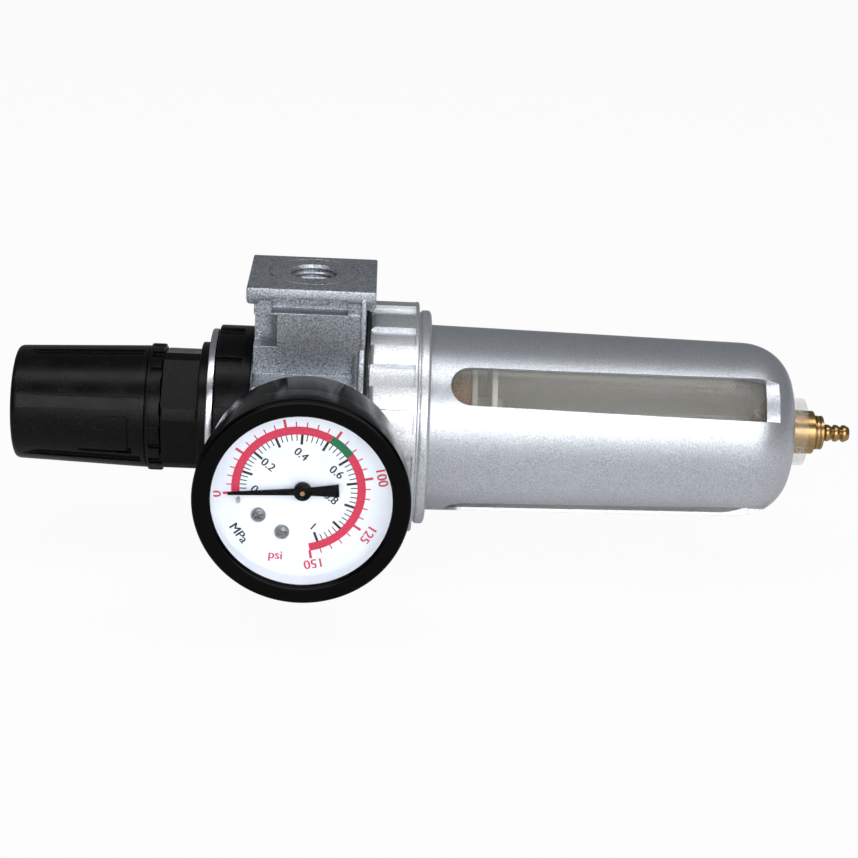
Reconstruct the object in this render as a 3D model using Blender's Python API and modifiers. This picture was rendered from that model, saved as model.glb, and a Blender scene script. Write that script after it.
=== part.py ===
"""Filter regulator with pressure gauge, laid down with its main axis along X.

The knob points to -X, the bowl and its drain to +X, the gauge to -Y. The lower port face rests on z = 0.
Stations named *_X are distances along the main axis from the port axis, positive towards the bowl.
Stations named *_G are distances along the gauge axis from the main axis, positive towards the dial.
"""

import math

import bmesh
import bpy
from mathutils import Matrix, Vector

MM = 0.001

# Clearances
GAP = 0.3 * MM  # between two pieces that bear on each other
HALF_TURN = 180.0
RUN = 0.4 * MM  # between a moving piece and the bore that guides it
OVERCUT = 1.0 * MM  # how far a cutting tool reaches past the face it opens
SLOT_INSET = 0.2 * MM

# Sides of a round surface, by its size
BIG_STEPS = 32
MIDDLE_STEPS = 24
SMALL_STEPS = 16
HOLE_STEPS = 12
TINY_STEPS = 8
DOME_STEPS = 4

# Ports and neck of the body casting
PORT_SPAN = 77.1 * MM
FLANGE_WIDTH = 32.5 * MM
FLANGE_DEPTH = 30.3 * MM
FLANGE_SHIFT_Y = -1.35 * MM
FLANGE_THICK = 3.3 * MM
NECK_LEFT_X = -14.3 * MM
NECK_RIGHT_X = 14.0 * MM
NECK_INSET = 0.5 * MM
BLOCK_INSET_Y = 2.0 * MM
BLOCK_HALF_Z = 15.9 * MM
BLOCK_RIGHT_X = 12.0 * MM
SHOULDER_THICK = 3.2 * MM
SHOULDER_STEP = 1.8 * MM
SHOULDER_RIM_THICK = 1.6 * MM
SHOULDER_RIM_STEP = 0.8 * MM
SHOULDER_ROUND = 1.6 * MM
EDGE_RIB = 1.0 * MM
EDGE_RIB_THICK = 1.4 * MM
EDGE_RIB_LOW_Z = 12.0 * MM
POCKET_X = (-10.1 * MM, 9.4 * MM)
POCKET_HEIGHT = 4.3 * MM
POCKET_DEPTH = 2.6 * MM
POCKET_LIP = 2.2 * MM
POCKET_SLOT = (1.4 * MM, 2.4 * MM)
POCKET_STEP = (3.0 * MM, 0.6 * MM)
LUG_WIDTH = 3.6 * MM
LUG_DEPTH = 3.0 * MM
LUG_DROP = 1.7 * MM
SCOOP_R = 6.0 * MM
SCOOP_TOP_DROP = 7.0 * MM
SCOOP_HEIGHT = 8.4 * MM
PORT_THREAD_R = 5.9 * MM
PORT_MOUTH_R = 6.6 * MM
PORT_CHAMFER = 1.3 * MM
PORT_DEPTH = 14.5 * MM
PASSAGE_R = 4.6 * MM
PASSAGE_SHIFT_X = -1.2 * MM
OUTLET_CHAMBER_R = 6.0 * MM
OUTLET_CHAMBER_X = -4.5 * MM
ORIFICE_R = 4.8 * MM
ORIFICE_X = 2.2 * MM
SEAT_X = 5.0 * MM
VALVE_CHAMBER_R = 8.2 * MM
INLET_PASSAGE_R = 3.6 * MM
INLET_PASSAGE_Z = -16.0 * MM
ANNULUS_INNER_R = 11.5 * MM
ANNULUS_WALL = 4.2 * MM
ANNULUS_DEPTH = 5.3 * MM
FEEDBACK_R = 0.8 * MM
FEEDBACK_OFFSET = 4.6 * MM

# Bonnet, its collar and its clamping nut
TUBE_R = 12.2 * MM
TUBE_WALL = 1.6 * MM
TUBE_LENGTH = 24.3 * MM
TUBE_TOP_WALL = 2.5 * MM
HEX_CORNER_R = 16.5 * MM
HEX_CORNER_CUT = 1.5 * MM
HEX_PHASE = 43.0
HEX_LENGTH = 9.3 * MM
BELL_R = 17.5 * MM
BELL_WALL = 2.3 * MM
BELL_LENGTH = 6.1 * MM
BELL_BORE_DEPTH = 6.6 * MM
BELL_CONE = 4.0 * MM
KEY_RIB_STANDOFF = 12.0 * MM
KEY_RIB_DEPTH = 1.4 * MM
KEY_RIB_WIDTH = 2.4 * MM
COLLAR_STEP = 2.1 * MM
COLLAR_LENGTH = 5.0 * MM
CHAMBER_DEPTH = 6.3 * MM
DIAPHRAGM_THICK = 1.0 * MM
BONNET_FLANGE_THICK = 1.4 * MM
BONNET_NUT_WALL = 2.3 * MM
BONNET_NUT_LIP = 1.2 * MM
BONNET_NUT_STANDOFF = 0.6 * MM
BONNET_NUT_NOTCHES = 10
BONNET_NUT_NOTCH_DEG = 13.0
BONNET_NUT_NOTCH_DEPTH = 1.2 * MM
BONNET_NUT_RIM = 2.3 * MM
BONNET_NUT_PHASE = 50.5
MOUNTING_RING_STEP = 1.1 * MM
MOUNTING_RING_THICK = 1.8 * MM

# Knob
KNOB_WALL = 2.6 * MM
KNOB_SIDE_WALL = 1.8 * MM
KNOB_TAPER = 1.2 * MM
KNOB_PLAY = 0.8 * MM
KNOB_RING_STEP = 0.6 * MM
KNOB_RING_WIDTH = 3.6 * MM
KNOB_GROOVE = 0.3 * MM
KNOB_GROOVE_DEPTH = 0.5 * MM
KNOB_ROUND = 1.0 * MM
KNOB_FLUTES = 6
KNOB_FLUTE_DEG = 13.0
KNOB_FLUTE_DEPTH = 0.9 * MM
KNOB_FLUTE_PHASE = 20.8
KNOB_NOTCHES = 16
KNOB_NOTCH_DEG = 11.25
KNOB_NOTCH_PHASE = 52.0
KNOB_NOTCH_DEPTH = 1.0 * MM
LATCH_LENGTH = 13.8 * MM
LATCH_STANDOFF = 3.3 * MM
LATCH_ARC = (-32.0, 12.6)
LATCH_GROOVE = 1.2 * MM
LATCH_DEPTH = 0.8 * MM

# Adjusting screw, spring nut and main spring
SCREW_R = 3.3 * MM
SCREW_HEAD_R = 4.9 * MM
SCREW_HEAD_LENGTH = 9.2 * MM
SCREW_HEAD_SPACE = 2.2 * MM
KNOB_SOCKET_DEPTH = 9.4 * MM
KNOB_SOCKET_WALL = 2.4 * MM
SCREW_COLLAR_R = 8.5 * MM
SCREW_COLLAR_THICK = 1.8 * MM
SCREW_SPARE = 4.8 * MM
THRUST_WASHER_THICK = 0.8 * MM
SPRING_NUT_SPACE = 1.8 * MM
SPRING_NUT_THICK = 4.5 * MM
SPRING_NUT_TRAVEL = 9.0 * MM
SPRING_PILOT_R = 6.0 * MM
SPRING_PILOT = 2.2 * MM
MAIN_WIRE_R = 1.1 * MM
MAIN_SPRING_TURNS = 7

# Diaphragm stack and valve
PLATE_R = 11.5 * MM
PLATE_THICK = 1.7 * MM
SWAGE_R = 2.4 * MM
RELIEF_FLANGE_R = 5.5 * MM
RELIEF_FLANGE_THICK = 1.3 * MM
RELIEF_BORE_R = 0.8 * MM
CONVOLUTION_RISE = 1.4 * MM
STEM_R = 1.4 * MM
DISC_R = 6.2 * MM
DISC_THICK = 1.7 * MM
VALVE_HEAD_THICK = 1.3 * MM
VALVE_TAIL_R = 2.2 * MM
VALVE_TAIL_SPARE = 0.4 * MM
VALVE_LIFT = 1.2 * MM
VALVE_WIRE_R = 0.35 * MM
VALVE_SPRING_TURNS = 4
HOLDER_FLOOR = 2.3 * MM
HOLDER_WALL = 1.9 * MM
HOLDER_FLANGE_R = 11.0 * MM
HOLDER_FLANGE_THICK = 1.8 * MM
HOLDER_STUD_R = 2.5 * MM
HOLDER_AIR_HOLES = 4
HOLDER_AIR_R = 1.2 * MM

# Bowl guard, bowl and their nut
GUARD_R = 24.85 * MM
GUARD_TAPER = 1.9 * MM
GUARD_LENGTH = 95.1 * MM
GUARD_DOME = 12.3 * MM
GUARD_WALL = 1.4 * MM
GUARD_DOME_WALL = 4.2 * MM
GUARD_END_WALL = 1.8 * MM
GUARD_FACE = 3.3 * MM
GUARD_FLANGE_STEP = 2.05 * MM
GUARD_FLANGE_THICK = 1.3 * MM
WINDOW_DEG = 24.7
WINDOW_END_DEG = 30.0
WINDOW_AXIS = -8.2
WINDOW_SPREAD = 48.8
WINDOW_STANDOFF = 5.1 * MM
WINDOW_END = 9.0 * MM
LEDGE_DEG = 29.4
LEDGE_END = 5.6 * MM
LEDGE_DEPTH = 2.1 * MM
BOWL_WALL = 2.2 * MM
BOWL_FLANGE_THICK = 2.3 * MM
BOWL_NECK_STEP = 0.95 * MM
BOWL_NECK_WALL = 3.0 * MM
BOWL_NECK_LENGTH = 6.5 * MM
BOSS_R = 8.9 * MM
BOSS_BORE_R = 6.0 * MM
BOSS_REACH = 5.6 * MM
SPIGOT_LENGTH = 9.0 * MM
NUT_WALL = 2.7 * MM
NUT_RIM_WALL = 2.9 * MM
NUT_RIM_WIDTH = 2.6 * MM
NUT_GROOVE_WIDTH = 0.7 * MM
NUT_LIP = 3.4 * MM
NUT_RECESS_DEPTH = 1.1 * MM
NUT_LANDS = 16
NUT_PHASE = 28.6
DUST_SEAL_WIDTH = 0.6 * MM
DUST_SEAL_PROUD = 0.2 * MM
O_RING_R = 0.65 * MM
O_RING_DROP = 3.0 * MM

# Filter cartridge
VANE_ROOM = 3.3 * MM
DEFLECTOR_THICK = 1.5 * MM
DEFLECTOR_SKIRT = 5.6 * MM
DEFLECTOR_WALL = 1.1 * MM
DEFLECTOR_HOLE = 4.6 * MM
VANE_COUNT = 12
VANE_REACH = 3.6 * MM
VANE_THICK = 0.9 * MM
VANE_TILT = 35.0
ELEMENT_STEP = 1.5 * MM
ELEMENT_WALL = 3.5 * MM
ELEMENT_LENGTH = 21.0 * MM
BAFFLE_STEP = 0.5 * MM
BAFFLE_ROOM = 3.9 * MM
BAFFLE_DISC_THICK = 1.5 * MM
BAFFLE_SPACE = 3.4 * MM
BAFFLE_HUB_R = 6.0 * MM
BAFFLE_NOSE = 2.0 * MM

# Drain
DRAIN_FLANGE_R = 8.0 * MM
DRAIN_FLANGE_THICK = 1.2 * MM
DRAIN_BODY_R = 5.7 * MM
DRAIN_BODY_REACH = 1.4 * MM
DRAIN_BORE_R = 2.6 * MM
DRAIN_SPRING_BORE_R = 3.7 * MM
DRAIN_SPRING_ROOM = 6.4 * MM
DRAIN_RECESS = 2.6 * MM
DRAIN_COLLAR_R = 4.5 * MM
DRAIN_COLLAR_THICK = 2.6 * MM
DRAIN_SHAFT_R = 2.2 * MM
DRAIN_HEAD_R = 5.3 * MM
DRAIN_HEAD_THICK = 1.3 * MM
DRAIN_SEAL_THICK = 0.7 * MM
DRAIN_WIRE_R = 0.3 * MM
DRAIN_SPRING_TURNS = 5
BARB_LENGTH = 7.2 * MM
BARB_CORE_R = 1.95 * MM
BARB_R = 2.65 * MM
BARB_COUNT = 3
DRAIN_HOLE_R = 1.0 * MM

# Gauge
GAUGE_X = 0.4 * MM
GAUGE_PORT_R = 5.0 * MM
GAUGE_PORT_DEPTH = 11.0 * MM
GAUGE_PASSAGE_R = 1.6 * MM
GAUGE_BOSS_R = 8.6 * MM
GAUGE_BOSS_REACH = 1.2 * MM
GASKET_R = 7.5 * MM
GASKET_THICK = 1.0 * MM
PLUG_HEAD = 2.4 * MM
STEM_FLATS = 14.0 * MM
STEM_FLATS_LENGTH = 9.2 * MM
STEM_NECK_R = 6.0 * MM
CASE_STANDOFF = 0.6 * MM
CASE_R = 24.2 * MM
CASE_WALL = 0.9 * MM
CASE_DEPTH = 19.1 * MM
BEZEL_WALL = 1.5 * MM
BEZEL_OVERLAP = 3.8 * MM
BEZEL_FACE = 2.0 * MM
BEZEL_WINDOW_STEP = 2.5 * MM
LENS_THICK = 1.4 * MM
DIAL_DROP = 5.9 * MM
DIAL_THICK = 0.5 * MM
DIAL_DOWN = -128.5
POINTER_LIFT = 1.2 * MM
POINTER_THICK = 0.5 * MM
POINTER_LENGTH = 17.8 * MM
POINTER_TAIL = 8.9 * MM
POINTER_HALF_WIDTHS = (0.3 * MM, 1.0 * MM, 1.15 * MM, 2.0 * MM)
POINTER_HUB_R = 2.3 * MM
POINTER_REST = -176.3
ARBOR_R = 0.6 * MM
PINION_R = 1.3 * MM
SECTOR_R = 13.0 * MM
SECTOR_REACH = (-33.0, 7.0)
STOP_PIN_R = 0.5 * MM
STOP_PIN_PLACE = (15.5 * MM, -169.4)
SCREW_PLACES = ((12.43 * MM, -146.8), (11.95 * MM, -113.2))
DIAL_SCREW_R = 1.25 * MM
DIAL_SCREW_HEAD_R = 1.9 * MM
FRAME_DROP = 6.9 * MM
FRAME_PLATE = 1.2 * MM
FRAME_HALF_WIDTH = 6.0 * MM
FRAME_UP = 6.0 * MM
FRAME_DOWN = 17.2 * MM
BOURDON_INSET = 8.7 * MM
BOURDON_TUBE_R = 1.5 * MM
BOURDON_LIFT = 4.8 * MM
BOURDON_SWEEP = 250.0

# Places and sizes that follow from the ones above
PORT_HALF = PORT_SPAN / 2
FLANGE_FRONT_Y = FLANGE_SHIFT_Y - FLANGE_DEPTH / 2
FLANGE_BACK_Y = FLANGE_SHIFT_Y + FLANGE_DEPTH / 2
NECK_FRONT_Y = FLANGE_FRONT_Y + NECK_INSET
NECK_BACK_Y = FLANGE_BACK_Y - NECK_INSET
SCOOP_HIGH_Z = PORT_HALF - SCOOP_TOP_DROP
SCOOP_LOW_Z = SCOOP_HIGH_Z - SCOOP_HEIGHT

BELL_BORE_R = BELL_R - BELL_WALL
DIAPHRAGM_CHAMBER_R = BELL_BORE_R + GAP
SPRING_BORE_R = TUBE_R - TUBE_WALL
HEX_APOTHEM = HEX_CORNER_R - HEX_CORNER_CUT
COLLAR_R = BELL_R + COLLAR_STEP
BONNET_NUT_R = COLLAR_R + GAP + BONNET_NUT_WALL
MOUNTING_RING_R = BONNET_NUT_R - MOUNTING_RING_STEP
COLLAR_END_X = NECK_LEFT_X - COLLAR_LENGTH
DIAPHRAGM_CHAMBER_X = COLLAR_END_X + CHAMBER_DEPTH
BONNET_NUT_END_X = NECK_LEFT_X - BONNET_NUT_STANDOFF
DIAPHRAGM_X = COLLAR_END_X - GAP - DIAPHRAGM_THICK
BONNET_END_X = DIAPHRAGM_X - GAP
BONNET_FLANGE_X = BONNET_END_X - BONNET_FLANGE_THICK
BONNET_NUT_LIP_X = BONNET_FLANGE_X - GAP
BONNET_NUT_START_X = BONNET_NUT_LIP_X - BONNET_NUT_LIP
MOUNTING_RING_END_X = BONNET_NUT_START_X - GAP
BELL_LEFT_X = BONNET_FLANGE_X - BELL_LENGTH
HEX_LEFT_X = BELL_LEFT_X - HEX_LENGTH
TUBE_END_X = HEX_LEFT_X - TUBE_LENGTH

KNOB_BORE_R = TUBE_R + KNOB_PLAY
KNOB_END_R = KNOB_BORE_R + KNOB_SIDE_WALL
KNOB_SKIRT_R = KNOB_END_R + KNOB_TAPER
KNOB_RING_R = KNOB_SKIRT_R + KNOB_RING_STEP
KNOB_RING_END_X = HEX_LEFT_X - GAP
KNOB_RING_X = KNOB_RING_END_X - KNOB_RING_WIDTH
KNOB_SKIRT_X = KNOB_RING_X - KNOB_GROOVE
SCREW_HEAD_X = TUBE_END_X - GAP
KNOB_END_X = SCREW_HEAD_X - SCREW_HEAD_LENGTH - SCREW_HEAD_SPACE - KNOB_WALL
LATCH_X = (KNOB_SKIRT_X - LATCH_STANDOFF - LATCH_LENGTH, KNOB_SKIRT_X - LATCH_STANDOFF)
THRUST_WASHER_X = TUBE_END_X + TUBE_TOP_WALL + GAP
SCREW_COLLAR_X = THRUST_WASHER_X + THRUST_WASHER_THICK + GAP
SPRING_NUT_START_X = SCREW_COLLAR_X + SCREW_COLLAR_THICK + SPRING_NUT_SPACE
SPRING_NUT_END_X = SPRING_NUT_START_X + SPRING_NUT_THICK
SCREW_TIP_X = SPRING_NUT_END_X + SPRING_PILOT + SPRING_NUT_TRAVEL + SCREW_SPARE

GUARD_FLANGE_R = GUARD_R + GUARD_FLANGE_STEP
BOWL_NECK_R = GUARD_R - BOWL_NECK_STEP
SPIGOT_R = GUARD_FLANGE_R + GAP
SPIGOT_BORE_R = BOWL_NECK_R + GAP
SHOULDER_R = SPIGOT_R + SHOULDER_STEP
BLOCK_HALF_Y = SHOULDER_R - BLOCK_INSET_Y
DUST_SEAL_R = SHOULDER_R + DUST_SEAL_PROUD
NUT_R = SPIGOT_R + GAP + NUT_WALL
NUT_RIM_R = GUARD_R + GAP + NUT_RIM_WALL
ANNULUS_OUTER_R = SPIGOT_BORE_R - ANNULUS_WALL
BOWL_BORE_R = BOWL_NECK_R - BOWL_NECK_WALL
DEFLECTOR_R = BOWL_BORE_R - VANE_ROOM - VANE_REACH
ELEMENT_R = DEFLECTOR_R - ELEMENT_STEP
ELEMENT_BORE_R = ELEMENT_R - ELEMENT_WALL
BAFFLE_SMALL_R = ELEMENT_R + BAFFLE_STEP
BAFFLE_LARGE_R = BOWL_BORE_R - BAFFLE_ROOM
SPIGOT_END_X = NECK_RIGHT_X + SPIGOT_LENGTH
RECESS_X = SPIGOT_END_X - BOWL_NECK_LENGTH
ANNULUS_X = RECESS_X - ANNULUS_DEPTH
O_RING_X = SPIGOT_END_X - O_RING_DROP
DUST_SEAL_X = NECK_RIGHT_X + GAP
NUT_START_X = DUST_SEAL_X + DUST_SEAL_WIDTH + GAP
BOWL_FLANGE_X = SPIGOT_END_X + GAP
GUARD_FLANGE_X = BOWL_FLANGE_X + BOWL_FLANGE_THICK + GAP
NUT_LIP_X = GUARD_FLANGE_X + GUARD_FLANGE_THICK + GAP
NUT_END_X = NUT_LIP_X + NUT_LIP
NUT_RIM_X = NUT_END_X - NUT_RIM_WIDTH
NUT_LANDS_END_X = NUT_RIM_X - NUT_GROOVE_WIDTH
GUARD_END_X = NUT_END_X + GUARD_LENGTH
GUARD_DOME_X = GUARD_END_X - GUARD_DOME
GUARD_FACE_R = BOSS_R + GUARD_FACE
WINDOW_START_X = NUT_END_X + WINDOW_STANDOFF
WINDOW_END_X = GUARD_END_X - WINDOW_END
LEDGE_END_X = GUARD_END_X - LEDGE_END
BOWL_END_X = GUARD_END_X - GUARD_END_WALL - GAP
BOSS_END_X = GUARD_END_X + BOSS_REACH

HOLDER_FLANGE_X = RECESS_X + GAP
DEFLECTOR_X = HOLDER_FLANGE_X + HOLDER_FLANGE_THICK + GAP
ELEMENT_X = DEFLECTOR_X + DEFLECTOR_THICK + GAP
ELEMENT_END_X = ELEMENT_X + ELEMENT_LENGTH
BAFFLE_X = ELEMENT_END_X + GAP
BAFFLE_SECOND_X = BAFFLE_X + BAFFLE_DISC_THICK + BAFFLE_SPACE
BAFFLE_END_X = BAFFLE_SECOND_X + BAFFLE_DISC_THICK + BAFFLE_NOSE

DRAIN_BODY_END_X = BOSS_END_X + DRAIN_BODY_REACH
DRAIN_RECESS_X = DRAIN_BODY_END_X - DRAIN_RECESS
DRAIN_SPRING_X = DRAIN_RECESS_X - DRAIN_SPRING_ROOM
DRAIN_FLANGE_END_X = BOWL_END_X - BOWL_WALL - GAP
DRAIN_FLANGE_X = DRAIN_FLANGE_END_X - DRAIN_FLANGE_THICK
DRAIN_COLLAR_X = DRAIN_BODY_END_X - 0.3 * GAP
DRAIN_COLLAR_END_X = DRAIN_COLLAR_X + DRAIN_COLLAR_THICK
DRAIN_TIP_X = DRAIN_COLLAR_END_X + BARB_LENGTH

GAUGE_BOSS_G = BLOCK_HALF_Y + GAUGE_BOSS_REACH
GASKET_G = GAUGE_BOSS_G + GAP
PLUG_HEAD_G = GASKET_G + GASKET_THICK + GAP
PLUG_END_G = PLUG_HEAD_G + PLUG_HEAD
STEM_THREAD_G = GAUGE_BOSS_G - GAUGE_PORT_DEPTH + MM
CASE_BACK_G = PLUG_HEAD_G + STEM_FLATS_LENGTH + CASE_STANDOFF
CASE_FRONT_G = CASE_BACK_G + CASE_DEPTH
LENS_G = CASE_FRONT_G + GAP
LENS_R = CASE_R - GAP
BEZEL_LIP_G = LENS_G + LENS_THICK + GAP
BEZEL_FRONT_G = BEZEL_LIP_G + BEZEL_FACE
BEZEL_BACK_G = CASE_FRONT_G - BEZEL_OVERLAP
BEZEL_R = CASE_R + GAP + BEZEL_WALL
BEZEL_WINDOW_R = CASE_R - BEZEL_WINDOW_STEP
DIAL_R = CASE_R - CASE_WALL - GAP
DIAL_G = CASE_FRONT_G - DIAL_DROP
DIAL_FACE_G = DIAL_G + DIAL_THICK
POINTER_G = DIAL_FACE_G + POINTER_LIFT
POINTER_FACE_G = POINTER_G + POINTER_THICK
FRAME_BACK_G = CASE_BACK_G + FRAME_DROP
FRAME_FRONT_G = DIAL_G - GAP
GEAR_G = FRAME_BACK_G + FRAME_PLATE + GAP
BOURDON_R = CASE_R - BOURDON_INSET
BOURDON_G = CASE_BACK_G + BOURDON_LIFT
SECTOR_PIVOT_R = SECTOR_R + PINION_R + GAP

PARTS = "filter_regulator"
CUTTERS = "cutters"


def clear_scene():
    for item in list(bpy.data.objects):
        bpy.data.objects.remove(item, do_unlink=True)
    for name in (PARTS, CUTTERS):
        bpy.context.scene.collection.children.link(bpy.data.collections.new(name))


def material(name, color, roughness, metallic=0.0, alpha=1.0):
    made = bpy.data.materials.new(name)
    made.use_nodes = True
    made.diffuse_color = (*color, alpha)
    shader = made.node_tree.nodes["Principled BSDF"]
    shader.inputs["Base Color"].default_value = (*color, 1.0)
    shader.inputs["Roughness"].default_value = roughness
    shader.inputs["Metallic"].default_value = metallic
    shader.inputs["Alpha"].default_value = alpha
    return made


# Frames: pieces turned about the main axis, the gauge axis and the port axis hang from these empties
def axis_empty(name, place, columns, parent=None):
    frame = bpy.data.objects.new(name, None)
    frame.empty_display_size = 0.02
    bpy.data.collections[PARTS].objects.link(frame)
    frame.matrix_world = Matrix.Translation(place) @ Matrix(columns).transposed().to_4x4()
    if parent:
        frame.parent = parent
    return frame


def put(mesh, name, frame, finish=None, place=(0, 0, 0)):
    """A new object for this mesh: a part with its finish, or a hidden cutter without one."""
    made = bpy.data.objects.new(name, mesh)
    made.parent = frame
    made.location = place
    if finish:
        bpy.data.collections[PARTS].objects.link(made)
        mesh.materials.append(finish)
    else:
        bpy.data.collections[CUTTERS].objects.link(made)
        made.hide_render = True
        made.display_type = "WIRE"
    return made


def smooth(item, angle=35.0):
    item.data.shade_smooth()
    item.data.set_sharp_from_angle(angle=math.radians(angle))


def area_sign(profile):
    total = 0.0
    for (x0, z0), (x1, z1) in zip(profile, profile[1:] + profile[:1]):
        total += x0 * z1 - x1 * z0
    return total


def turned(name, frame, profile, steps, finish=None, place=(0, 0, 0)):
    """Turns a closed outline of (station, radius) points about the frame's Z axis."""
    points = [(radius, station) for station, radius in profile]
    if area_sign(points) > 0:
        points.reverse()
    solid_core = [i for i, (radius, _) in enumerate(points) if radius == 0]
    mesh = bpy.data.meshes.new(name)
    verts = [(radius, 0, station) for radius, station in points]
    edges = [(i, (i + 1) % len(verts)) for i in range(len(verts))]
    if solid_core:
        edges = [pair for pair in edges if not (pair[0] in solid_core and pair[1] in solid_core)]
    mesh.from_pydata(verts, edges, [])
    made = put(mesh, name, frame, finish, place)
    screw = made.modifiers.new("turn", "SCREW")
    screw.axis = "Z"
    screw.steps = screw.render_steps = steps
    screw.use_merge_vertices = True
    screw.merge_threshold = 0.00001
    screw.use_smooth_shade = True
    return made


def from_bmesh(name, shape, frame, finish=None, place=(0, 0, 0)):
    mesh = bpy.data.meshes.new(name)
    shape.to_mesh(mesh)
    shape.free()
    return put(mesh, name, frame, finish, place)


def add_box(shape, low, high, bevel=0.0):
    low, high = Vector(low), Vector(high)
    size = high - low
    place = Matrix.Translation((low + high) / 2) @ Matrix.Diagonal((*size, 1))
    made = bmesh.ops.create_cube(shape, size=1, matrix=place)["verts"]
    if bevel:
        edges = list({edge for vert in made for edge in vert.link_edges})
        bmesh.ops.bevel(shape, geom=edges, offset=bevel, segments=1, affect="EDGES", profile=0.5)


def add_rod(shape, radius, start, end, steps, end_radius=None, spin=0.0):
    """A cylinder or cone between two points."""
    start, end = Vector(start), Vector(end)
    along = end - start
    turn = along.to_track_quat("Z", "Y").to_matrix().to_4x4()
    place = Matrix.Translation((start + end) / 2) @ turn @ Matrix.Rotation(math.radians(spin), 4, "Z")
    bmesh.ops.create_cone(
        shape,
        cap_ends=True,
        segments=steps,
        radius1=radius,
        radius2=radius if end_radius is None else end_radius,
        depth=along.length,
        matrix=place,
    )


def combine(target, tool, operation="DIFFERENCE"):
    step = target.modifiers.new(tool.name, "BOOLEAN")
    step.operation = operation
    step.object = tool
    step.solver = "EXACT"
    return step


def polar(radius, degrees):
    return radius * math.cos(math.radians(degrees)), radius * math.sin(math.radians(degrees))


def from_front(degrees):
    """On the main axis frame, the angle of a direction given as degrees above -Y, towards +Z."""
    return 90.0 - degrees


def add_arc_block(shape, radii, stations, centre, width, steps=2):
    """A block between two radii and two stations, spread over an arc of the main axis frame."""
    columns = []
    for i in range(steps + 1):
        angle = centre - width / 2 + width * i / steps
        column = []
        for radius, station in zip(radii + radii[::-1], (stations[0],) * 2 + (stations[1],) * 2):
            column.append(shape.verts.new((*polar(radius, angle), station)))
        columns.append(column)
    faces = [columns[0], columns[-1][::-1]]
    for left, right in zip(columns, columns[1:]):
        for k in range(4):
            faces.append([left[k], right[k], right[(k + 1) % 4], left[(k + 1) % 4]])
    made = [shape.faces.new(face) for face in faces]
    bmesh.ops.recalc_face_normals(shape, faces=made)


def ring_of_blocks(name, frame, radii, stations, count, width, phase):
    shape = bmesh.new()
    for i in range(count):
        add_arc_block(shape, radii, stations, from_front(phase) + 360.0 * i / count, width)
    return from_bmesh(name, shape, frame)


def coil(name, frame, finish, wire, mean, start, end, turns, per_turn=10):
    """A compression spring with closed ends, as a tube along a helix."""
    line = bpy.data.curves.new(name, "CURVE")
    line.dimensions = "3D"
    line.bevel_depth = wire
    line.bevel_resolution = 0 if wire < MM else 1
    line.use_fill_caps = True
    run = line.splines.new("POLY")
    count = turns * per_turn
    run.points.add(count)
    low, high = start + wire, end - wire
    closed = 1.5 * wire
    for i, point in enumerate(run.points):
        turn = turns * i / count
        if turn < 1:
            station = low + turn * closed
        elif turn > turns - 1:
            station = high - (turns - turn) * closed
        else:
            station = low + closed + (high - low - 2 * closed) * (turn - 1) / (turns - 2)
        point.co = (*polar(mean, 360.0 * turn), station, 1)
    made = bpy.data.objects.new(name, line)
    made.parent = frame
    bpy.data.collections[PARTS].objects.link(made)
    line.materials.append(finish)
    return made


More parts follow.
